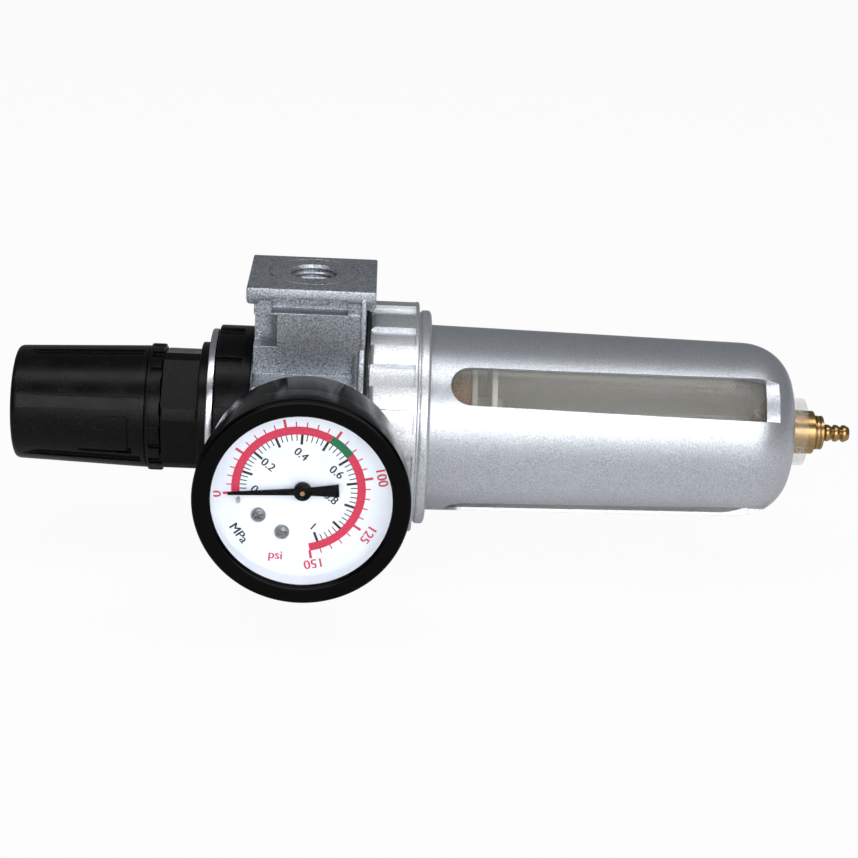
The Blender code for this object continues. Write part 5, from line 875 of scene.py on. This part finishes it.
def bowl_nut():
    start, end = along("bowl_ring_nut")
    outer = reach("bowl_ring_nut")
    rim = outer - NUT_RIM_STEP
    rim_x = end - NUT_RIM_WIDTH
    lands_x = rim_x - NUT_LINE
    bore = SPIGOT_R + GAP
    lip_x = end - 3.4 * MM
    profile = [
        (start, bore),
        (start, outer - NUT_CHAMFER),
        (start + NUT_CHAMFER, outer),
        (lands_x, outer),
        *stairs(lands_x, (rim - 0.5 * MM, rim_x), (rim, end - 0.5 * MM)),
        (end, rim - 1.0 * MM),
        *stairs(end, (GUARD_R + GAP, lip_x)),
        (lip_x, bore),
    ]
    made = thing("bowl_nut", lathe(soften(profile, 0.5 * MM)))
    width = 180.0 / NUT_LANDS
    radii, stations = (outer - NUT_RECESS, outer + 2 * MM), (start - MM, lands_x - 0.9 * MM)
    notch_round(made, NUT_LANDS, from_front(NUT_PHASE) - width, radii, stations, width)
    dress(made, NUT, "silver_casting", "bowl_ring_nut", place=MAIN)

    start, end = along("dust_seal")
    profile = stairs(start, (reach("dust_seal"), end), (bore, start))
    turned("seal_ring", profile, 0.4 * MM, MAIN, RUBBER, "black_rubber", "dust_seal")


def guard():
    start, end = along("bowl_guard")
    nut_end = along("bowl_ring_nut")[1]
    dome_x = end - GUARD_DOME
    inner_x = dome_x - GUARD_DOME_WALL
    outer = dome(dome_x, end, guard_radius(dome_x), GUARD_FACE_R)
    inner = dome(inner_x, end - 1.8 * MM, guard_radius(inner_x) - GUARD_WALL, BOSS_R + GAP)
    profile = [
        (start, GUARD_R - GUARD_WALL),
        *stairs(start, (reach("bowl_guard"), start + 1.3 * MM), (GUARD_R, nut_end)),
        *outer,
        (end, BOSS_R + 0.4 * MM),
        *inner[-2::-1],
        (nut_end, GUARD_R - GUARD_WALL),
    ]
    made = thing("guard_shell", lathe(soften(profile, 0.3 * MM), FINE_STEPS))
    windows = []
    ledges = []
    window_x = nut_end + WINDOW_STANDOFF
    for middle in (WINDOW_AXIS, WINDOW_AXIS + 180):
        for side in (1, -1):
            centre = from_front(middle + side * WINDOW_SPREAD)
            windows.append(window(window_x, end - WINDOW_END, centre))
            radii = (guard_radius(dome_x) - LEDGE_DEPTH, GUARD_R + MM)
            ledges.append(arc_block(radii, (end - WINDOW_END - MM, end - LEDGE_END), centre, LEDGE_DEG, 12))
    combine(made, gather(windows))
    combine(made, gather(ledges))
    dress(made, SHELL, "silver_guard", "bowl_guard", place=MAIN)


def window(start, end, centre):
    """One window's tool: round at the nut's end, wider and square where it runs into the dome."""
    half = WINDOW_DEG / 2
    length = math.radians(half) * guard_radius(start)
    edge = []
    for i in range(13):
        out, across = polar(1.0, 4.0 + 86.0 * i / 12)
        edge.append((half * across, start + length - length * out))
    edge.append((WINDOW_END_DEG / 2, end))
    rows = []
    for side, station in edge:
        inner = [(*polar(GUARD_FACE_R, centre + side * k / 4), station) for k in range(-4, 5)]
        outer = [(*polar(GUARD_R + 3 * MM, centre + side * k / 4), station) for k in range(4, -5, -1)]
        rows.append(inner + outer)
    return skin(rows)


def bowl():
    start, end = along("bowl")
    guard_end = along("bowl_guard")[1]
    nut_end = along("bowl_ring_nut")[1]
    flange_x = 23.3 * MM
    neck_r, bore_r = 23.9 * MM, 20.4 * MM
    inset = GUARD_WALL + BOWL_GAP
    shell_end = guard_end - 1.8 * MM - GAP
    outer_x = guard_end - GUARD_DOME - GUARD_DOME_WALL - GAP
    inner_x = outer_x - 0.5 * BOWL_WALL
    inner_end = shell_end - BOWL_WALL
    outer = dome(outer_x, shell_end, guard_radius(outer_x) - inset, BOSS_R)
    inner = dome(inner_x, inner_end, guard_radius(inner_x) - inset - BOWL_WALL, 8.3 * MM)
    profile = [
        (start, bore_r),
        *stairs(start, (neck_r, flange_x), (reach("bowl"), flange_x + 2.3 * MM), (GUARD_R - inset, nut_end)),
        *outer,
        (end - BOSS_SHORT, BOSS_R),
        *stairs(end - BOSS_SHORT, (DRAIN_HOLE, inner_end)),
        *inner[::-1],
        (nut_end, bore_r),
    ]
    turned("clear_bowl", profile, 0.4 * MM, MAIN, CLEAR, "clear_bowl", "bowl")


# Filter cartridge
ELEMENT_BORE_R = 9.0 * MM
DEFLECTOR_R = 14.0 * MM
DEFLECTOR_WALL = 1.1 * MM
DEFLECTOR_BORE_R = 7.1 * MM
VANES = 12
VANE_DEG = 35.0
BAFFLE_SMALL_R = 13.0 * MM
BAFFLE_HUB_R = 6.0 * MM
BAFFLE_BORE_R = 2.8 * MM
BAFFLE_THICK = 1.5 * MM


def cartridge():
    start, end = along("filter_element")
    profile = stairs(start, (reach("filter_element"), end), (ELEMENT_BORE_R, start))
    turned("bronze_element", profile, 0.4 * MM, MAIN, BRONZE, "sintered_bronze", "filter_element")

    start, end = along("deflector")
    plate_x = start + 1.5 * MM
    inner = DEFLECTOR_R - DEFLECTOR_WALL
    profile = stairs(start, (DEFLECTOR_R, end), (inner, plate_x), (DEFLECTOR_BORE_R, start))
    made = thing("vane_ring", lathe(soften(profile, 0.3 * MM), 96))
    low, high = (DEFLECTOR_R - 0.5 * MM, -0.45 * MM, -3.0 * MM), (reach("deflector"), 0.45 * MM, 3.0 * MM)
    tilt = Matrix.Translation((0, 0, (start + end) / 2)) @ Matrix.Rotation(math.radians(VANE_DEG), 4, "X")
    for i in range(VANES):
        vane = box(low, high, 0.15 * MM)
        vane.transform(spin(360.0 * i / VANES) @ tilt)
        combine(made, vane, "UNION")
    dress(made, WHITE, "white_plastic", "deflector", place=MAIN)

    start, end = along("baffle")
    outer = reach("baffle")
    small_end, large_end = start + BAFFLE_THICK, end - 2.0 * MM
    large_start = large_end - BAFFLE_THICK
    profile = [
        (start, BAFFLE_BORE_R),
        *stairs(start, (BAFFLE_SMALL_R, small_end), (BAFFLE_HUB_R, large_start), (outer, large_end)),
        (large_end, BAFFLE_HUB_R),
        (end, BAFFLE_HUB_R - 0.6 * MM),
        (end, BAFFLE_BORE_R),
    ]
    turned("still_zone_discs", profile, 0.3 * MM, MAIN, WHITE, "clear_bowl", "baffle")


# Drain
SLEEVE_FLANGE_R = 8.0 * MM
SLEEVE_FLANGE = 1.2 * MM
SLEEVE_R = 5.7 * MM
SLEEVE_BORE_R = 2.6 * MM
SLEEVE_MOUTH = (2.6 * MM, 4.8 * MM)
SLEEVE_POCKET = (9.0 * MM, 3.7 * MM)
STEM_FLANGE_R = 5.3 * MM
STEM_FLANGE = 1.3 * MM
STEM_R = 2.2 * MM
STEM_BORE_R = 1.0 * MM
NIPPLE_LENGTH = 7.2 * MM
BARBS = 3
BARB_START = 0.6 * MM
BARB_R = 2.25 * MM
BARB_CORE = 1.6 * MM
COLLAR_OUTER = 4.5 * MM
COLLAR_WIDTH = 2.9 * MM
COLLAR_GROOVES = (0.7 * MM, 1.8 * MM)
COLLAR_GROOVE = 0.3 * MM


def drain():
    start, end = along("drain_body")
    mouth_x, mouth_r = end - SLEEVE_MOUTH[0], SLEEVE_MOUTH[1]
    pocket_x, pocket_r = end - SLEEVE_POCKET[0], SLEEVE_POCKET[1]
    profile = [
        *stairs(start, (SLEEVE_FLANGE_R, start + SLEEVE_FLANGE), (SLEEVE_R, end)),
        *stairs(end, (mouth_r, mouth_x), (pocket_r, pocket_x), (SLEEVE_BORE_R, start)),
    ]
    turned("drain_sleeve", profile, 0.25 * MM, MAIN, BRASS, "brass", "drain_body")

    start, end = along("drain_stem")
    collar_end = end - NIPPLE_LENGTH
    collar_x = collar_end - COLLAR_WIDTH
    profile = [(start, 0), *stairs(start, (STEM_FLANGE_R, start + STEM_FLANGE), (STEM_R, collar_x))]
    profile.append((collar_x, COLLAR_OUTER))
    for place in COLLAR_GROOVES:
        near, far = collar_x + place, collar_x + place + COLLAR_GROOVE
        floor = COLLAR_OUTER - COLLAR_GROOVE
        profile += [(near, COLLAR_OUTER), (near, floor), (far, floor), (far, COLLAR_OUTER)]
    profile += [(collar_end, COLLAR_OUTER), (collar_end, BARB_CORE)]
    first = collar_end + BARB_START
    pitch = (end - first) / BARBS
    for i in range(BARBS):
        for share, radius in ((0.0, BARB_CORE), (0.15, BARB_R), (0.5, BARB_R), (0.95, BARB_CORE + 0.1 * MM)):
            profile.append((first + pitch * (i + share), radius))
    profile += [(end, BARB_CORE), (end, STEM_BORE_R), (collar_x, STEM_BORE_R), (collar_x, 0)]
    turned("drain_plunger", profile, 0.25 * MM, MAIN, BRASS, "brass", "drain_stem", body="drain_stem")


# Gauge
CASE_R = 24.2 * MM
CASE_WALL = 0.9 * MM
CASE_HOLE_R = 6.3 * MM
BEZEL_WINDOW = 21.5 * MM
DIAL_TURN = -38.5
PSI_ANGLES = (185.0, 146.7, 102.2, 57.0, 11.5, -33.0, -79.0)
PSI_STEP = 25.0
PSI_PER_MPA = 145.0
RED_BAND = (14.0 * MM, 16.0 * MM)
GREEN_SECTOR = (60.3, 36.7)
PSI_MINOR = 17.2 * MM
PSI_MAJOR = 18.0 * MM
MPA_OUTER = 14.1 * MM
MPA_MINOR = 12.4 * MM
MPA_MAJOR = 11.5 * MM
PRINT_SHIFT = Matrix.Translation((-1.0 * MM, -0.1 * MM, 0))
PRINT_LIFT = 0.01 * MM
TICK_BOLD = 0.62 * MM
PSI_SIZE = 3.3 * MM
MPA_SIZE = 2.9 * MM
UNIT_SIZE = 3.2 * MM
LETTER_SHIFT = 0.02
# Name, text, size, place from the hub in millimetres, turn and ink
LETTERING = (
    ("psi_0", "0", PSI_SIZE, (-20.4, -1.95), 92.1, RED),
    ("psi_100", "100", PSI_SIZE, (18.55, 3.85), -77.0, RED),
    ("psi_125", "125", PSI_SIZE, (15.93, -10.96), -121.8, RED),
    ("psi_150", "150", PSI_SIZE, (3.1, -19.03), -168.2, RED),
    ("mpa_0", "0", MPA_SIZE, (-11.52, -0.45), DIAL_TURN, INK),
    ("mpa_0.2", "0.2", MPA_SIZE, (-8.36, 5.9), DIAL_TURN, INK),
    ("mpa_0.4", "0.4", MPA_SIZE, (-0.6, 8.87), DIAL_TURN, INK),
    ("mpa_0.6", "0.6", MPA_SIZE, (7.84, 4.65), DIAL_TURN, INK),
    ("mpa_0.8", "0.8", MPA_SIZE, (6.74, -1.98), DIAL_TURN, INK),
    ("mpa_1", "1", MPA_SIZE, (2.69, -9.49), DIAL_TURN, INK),
    ("unit_mpa", "MPa", UNIT_SIZE, (-15.06, -11.9), -53.0, INK),
    ("unit_psi", "psi", UNIT_SIZE, (-6.15, -17.26), -4.0, RED),
)
POINTER_REST = -176.3
# From the tip to the tail, in millimetres
POINTER_EDGE = ((17.8, 0.33), (0.0, 0.88), (-4.2, 1.17), (-8.7, 1.6))
HUB_R = 2.2 * MM
SCREW_R = 1.75 * MM
SCREW_SHANK_R = 0.85 * MM
SCREW_CROSS = 1.0 * MM
SCREW_TURNS = (25.0, 115.0)


def psi_angle(psi):
    index = min(int(psi / PSI_STEP), len(PSI_ANGLES) - 2)
    share = psi / PSI_STEP - index
    return PSI_ANGLES[index] * (1 - share) + PSI_ANGLES[index + 1] * share


def gauge_shell():
    start, end = forward("gauge_case")
    floor = start + CASE_WALL
    profile = stairs(start, (CASE_R, end), (CASE_R - CASE_WALL, floor), (CASE_HOLE_R, start))
    finish = (GLOSS, "gauge_black")
    turned("gauge_drum", profile, 0.9 * MM, GAUGE, *finish, "gauge_case", corner_steps=5)

    start, end = forward("gauge_bezel")
    low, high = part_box("gauge_bezel")
    outer = (high[2] - low[2]) / 2
    lip = end - 2.0 * MM
    profile = [
        (start, CASE_R + GAP),
        (start, outer),
        (end - 0.8 * MM, outer),
        (end - 0.2 * MM, outer - 0.4 * MM),
        (end, outer - 1.2 * MM),
        (end - 0.4 * MM, BEZEL_WINDOW + 0.5 * MM),
        (end - 1.0 * MM, BEZEL_WINDOW),
        (lip, BEZEL_WINDOW),
        (lip, CASE_R + GAP),
    ]
    turned("gauge_rim", profile, 0.6 * MM, GAUGE, *finish, "gauge_bezel", corner_steps=5, steps=FINE_STEPS)

    start, end = forward("gauge_lens")
    profile = stairs(start, (CASE_R - GAP, end), (0, start))
    turned("gauge_glass", profile, 0.3 * MM, GAUGE, GLASS, "gauge_window", "gauge_lens")


def tick(radii, degrees, width, station):
    half = width / 2
    outline = ((radii[0], -half), (radii[1], -half), (radii[1], half), (radii[0], half))
    shape = plate(outline, station, station + PRINT_THICK)
    shape.transform(spin(degrees))
    return shape


def band(radii, start, end, station):
    centre, width = (start + end) / 2, abs(start - end)
    return arc_block(radii, (station, station + PRINT_THICK), centre, width, max(4, int(width / 2)))


def dial_print():
    face = forward("gauge_dial")[1] + PRINT_LIFT
    place = GAUGE @ PRINT_SHIFT
    green_start, green_end = GREEN_SECTOR
    red = [
        band(RED_BAND, PSI_ANGLES[0] + 0.6, green_start, face),
        band(RED_BAND, green_end, PSI_ANGLES[-1], face),
    ]
    black = []
    for i in range(31):
        outer, width = (PSI_MAJOR, TICK_BOLD) if i % 5 == 0 else (PSI_MINOR, 0.3 * MM)
        red.append(tick((RED_BAND[1] - 0.1 * MM, outer), psi_angle(5.0 * i), width, face))
    for i in range(51):
        inner, width = (MPA_MAJOR, TICK_BOLD) if i % 5 == 0 else (MPA_MINOR, 0.25 * MM)
        black.append(tick((inner, MPA_OUTER), psi_angle(0.02 * PSI_PER_MPA * i), width, face))
    dress(thing("scale_red", gather(red), place), RED, "dial_white")
    dress(thing("scale_black", gather(black), place), INK, "dial_white")
    green = thing("scale_green", band(RED_BAND, green_start, green_end, face), place)
    dress(green, GREEN, "dial_white")


def lettering(name, text, size, place, turn, surface):
    """Generic dial lettering as a thin raised mesh, printed twice side by side for its weight."""
    curve = bpy.data.curves.new(name, "FONT")
    curve.body = text
    curve.size = size
    curve.align_x = "CENTER"
    curve.align_y = "CENTER"
    curve.extrude = PRINT_THICK / 2
    source = put(name, curve)
    bpy.context.view_layer.update()
    graph = bpy.context.evaluated_depsgraph_get()
    letters = bpy.data.meshes.new_from_object(source.evaluated_get(graph))
    bpy.data.objects.remove(source)
    bpy.data.curves.remove(curve)
    face = forward("gauge_dial")[1] + PRINT_LIFT + PRINT_THICK / 2
    spot = Matrix.Translation((place[0] * MM, place[1] * MM, face)) @ spin(turn)
    shape = bmesh.new()
    for side in (-1, 1):
        mesh = letters.copy()
        mesh.transform(Matrix.Translation((side * LETTER_SHIFT * size, 0, side * 0.003 * MM)))
        shape.from_mesh(mesh)
        bpy.data.meshes.remove(mesh)
    bpy.data.meshes.remove(letters)
    dress(thing(name, shape, GAUGE @ spot), surface, "dial_white")


def dial():
    start, end = forward("gauge_dial")
    outer = CASE_R - CASE_WALL - GAP
    rim = forward("gauge_lens")[0] - GAP
    profile = [
        (start, MM),
        (start, outer),
        (rim, outer),
        (rim, outer - 0.5 * MM),
        (end + 0.8 * MM, outer - 0.8 * MM),
        (end, outer - 1.6 * MM),
        (end, MM),
    ]
    turned("dial_plate", profile, 0.3 * MM, GAUGE, DIAL, "dial_white", "gauge_dial")
    dial_print()
    for row in LETTERING:
        lettering(*row)
    for node in ("dial_screw_upper", "dial_screw_lower"):
        dial_screw(node)


def dial_screw(node):
    """A pan-head screw with a ring at its edge and a cross recess."""
    low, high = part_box(node)
    start, end = forward(node)
    face = forward("gauge_dial")[1] + TOUCH
    profile = [
        (start, 0),
        *stairs(start, (SCREW_SHANK_R, face), (SCREW_R, end - 0.6 * MM)),
        (end - 0.3 * MM, SCREW_R - 0.15 * MM),
        (end - 0.4 * MM, SCREW_R - 0.4 * MM),
        (end, 0.75 * SCREW_R - 0.4 * MM),
        (end, 0),
    ]
    made = thing(node + "_head", lathe(soften(profile, 0.12 * MM), 48))
    for turn in SCREW_TURNS:
        slot = box((-SCREW_CROSS, -0.24 * MM, end - 0.8 * MM), (SCREW_CROSS, 0.24 * MM, end + MM))
        slot.transform(spin(turn))
        combine(made, slot)
    middle = (Vector(low) + Vector(high)) / 2
    place = GAUGE @ Matrix.Translation((middle.x - GAUGE_AXIS.x, middle.z - AXIS.z, 0))
    dress(made, SCREW, "steel", node, place=place)


def pointer():
    start, end = forward("gauge_pointer")
    low = start + 0.8 * MM
    high = low + 0.5 * MM
    upper = [(x * MM, y * MM) for x, y in POINTER_EDGE]
    lower = [(x, -y) for x, y in upper[::-1]]
    shape = plate(upper + lower, low, high)
    shape.transform(spin(POINTER_REST))
    made = thing("pointer_blade", shape)
    hub = [(start, 0), (start, HUB_R), (end - 0.2 * MM, HUB_R), (end, HUB_R - 0.8 * MM), (end, 0)]
    combine(made, lathe(soften(hub, 0.3 * MM), 64), "UNION")
    dress(made, GLOSS, "gauge_black", "gauge_pointer", body="pointer", place=GAUGE)
    cap = [(end - 0.3 * MM, 0), (end - 0.3 * MM, 0.45 * MM), (end + 0.2 * MM, 0.4 * MM), (end + 0.3 * MM, 0)]
    turned("arbor_tip", cap, 0.2 * MM, GAUGE, BRASS, "brass", body="pointer", steps=32)


GAUGE_BRASS = ("gauge_frame", "gauge_sector", "gauge_arbor", "gauge_stem", "bourdon_tube")


def carried_over():
    """CAD nodes whose shape is right keep it and get a finished surface."""
    kept = {
        RUBBER: ("rear_plug_washer", "valve_disc", "bowl_o_ring", "drain_seal"),
        STEEL: ("rear_plug", "adjusting_screw", "diaphragm_plate", "gauge_stop_pin"),
        BRASS: ("spring_nut", "relief_seat", "valve_stem", *GAUGE_BRASS),
        WHITE: ("thrust_washer", "valve_holder", "gauge_gasket"),
    }
    for surface, names in kept.items():
        for name in names:
            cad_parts[name].material_slots[0].material = surface


# Node, the joint that presses it, its fixed end (0 low, 1 high), the share that is left, finish and slot
GIVING = (
    ("main_spring", "spring_nut_travel", 1, 0.66, STEEL, "spring_steel"),
    ("valve_spring", "valve_lift", 1, 0.77, STEEL, "spring_steel"),
    ("drain_spring", "drain_push", 0, 0.76, STEEL, "spring_steel"),
)
# Piece, its body, the way it is cut from the diaphragm, and the radius of the cut
DIAPHRAGM_HALVES = (
    ("diaphragm_centre", "diaphragm_stack", "INTERSECT", 12.2 * MM),
    ("diaphragm_rim", "housing", "DIFFERENCE", 12.4 * MM),
)


def giving_pieces():
    """Springs copied with meshes of their own, and a diaphragm whose centre moves with its plate."""
    for node, joint, fixed, keep, surface, slot in GIVING:
        item = put(node + "_shape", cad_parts[node].data.copy())
        dress(item, surface, slot, node)
        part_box(node)[fixed][0]
        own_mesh(item)
    low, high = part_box("diaphragm")
    for name, body, operation, radius in DIAPHRAGM_HALVES:
        item = put(name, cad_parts["diaphragm"].data.copy())
        core = rod(radius, (low[0] - MM, AXIS.y, AXIS.z), (high[0] + MM, AXIS.y, AXIS.z), 96)
        combine(item, core, operation)
        dress(item, RUBBER, "black_rubber", "diaphragm", body=body)


# Light, floor and camera
CAMERA_PLACE = (-0.018075, -0.5020, 0.22929)
CAMERA_AZIMUTH = -1.818
CAMERA_BACK = (-0.029705, -0.935852, 0.351139)
CAMERA_ROLL = 2.898
CAMERA_LENS = 87.76
FLOOR_SIZE = 3.0
FLOOR_SHADOW = 0.05
FLOOR_COLOR = (0.85, 0.85, 0.86, 1)
AMBIENT = 0.1
AMBIENT_COLOR = (0.9, 0.95, 1.0, 1)
MIRRORED = 0.1
# Name, place, size and power in watts
SOFTBOXES = (
    ("key", (0.15, -0.95, 0.5), (1.2, 0.45), 6.8),
    ("front", (0.1, -1.15, 0.12), (1.2, 0.4), 3.0),
    ("top", (0.0, -0.2, 1.0), (1.5, 0.35), 5.5),
)


def softbox(name, place, size, power):
    lamp = bpy.data.lights.new(name, "AREA")
    lamp.shape = "RECTANGLE"
    lamp.size, lamp.size_y = size
    lamp.energy = power
    item = put(name, lamp)
    item.location = place
    aim = AXIS - Vector(place)
    item.rotation_euler = aim.to_track_quat("-Z", "Y").to_euler()


def background_share(tree):
    """How much of the white background a ray sees: all by eye and through glass, a little in gloss."""
    path = tree.add("ShaderNodeLightPath").outputs
    direct = tree.math("MAXIMUM", path["Is Camera Ray"], path["Is Transmission Ray"])
    return tree.math("MAXIMUM", direct, tree.math("MULTIPLY", path["Is Glossy Ray"], MIRRORED))


def mix_shaders(tree, share, first, second, output):
    blend = tree.add("ShaderNodeMixShader")
    for socket, source in zip(blend.inputs, (share, first, second)):
        tree.link(source, socket)
    tree.link(blend.outputs["Shader"], tree.nodes[output].inputs["Surface"])


def studio():
    shape = bmesh.new()
    bmesh.ops.create_grid(shape, x_segments=1, y_segments=1, size=FLOOR_SIZE)
    floor = thing("floor", shape, Matrix.Translation((0, 0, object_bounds()[0][2] - 0.1 * MM)))
    paper = bpy.data.materials.new("pale_paper")
    tree = Tree(paper)
    matte = tree.nodes["Principled BSDF"]
    matte.inputs["Base Color"].default_value = FLOOR_COLOR
    matte.inputs["Roughness"].default_value = 0.9
    glow = tree.add("ShaderNodeEmission")
    glow.inputs["Strength"].default_value = 1.0
    share = tree.math("MULTIPLY", background_share(tree), 1 - FLOOR_SHADOW)
    mix_shaders(tree, share, matte.outputs["BSDF"], glow.outputs["Emission"], "Material Output")
    floor.data.materials.append(paper)
    floor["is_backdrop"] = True

    world = bpy.data.worlds.new("studio")
    tree = Tree(world)
    bpy.context.scene.world = world
    ambient = tree.nodes["Background"]
    ambient.inputs["Color"].default_value = AMBIENT_COLOR
    ambient.inputs["Strength"].default_value = AMBIENT
    white = tree.add("ShaderNodeBackground")
    white.inputs["Color"].default_value = (1, 1, 1, 1)
    share = background_share(tree)
    mix_shaders(tree, share, ambient.outputs["Background"], white.outputs["Background"], "World Output")
    for row in SOFTBOXES:
        softbox(*row)


def camera():
    data = bpy.data.cameras.new("photo")
    data.lens = CAMERA_LENS
    data.sensor_width = 36.0
    item = put("photo", data)
    back = Vector(CAMERA_BACK).normalized()
    right = Vector((*polar(1.0, CAMERA_AZIMUTH), 0))
    up = back.cross(right)
    cosine, sine = polar(1.0, CAMERA_ROLL)
    axes = Matrix((right * cosine + up * sine, up * cosine - right * sine, back)).transposed().to_4x4()
    item.matrix_world = Matrix.Translation(CAMERA_PLACE) @ axes
    bpy.context.scene.camera = item


knob()
bonnet()
body_casting()
bowl_nut()
guard()
bowl()
cartridge()
drain()
gauge_shell()
dial()
pointer()
carried_over()
giving_pieces()
studio()
camera()
bpy.context.scene.view_settings.view_transform = "Standard"
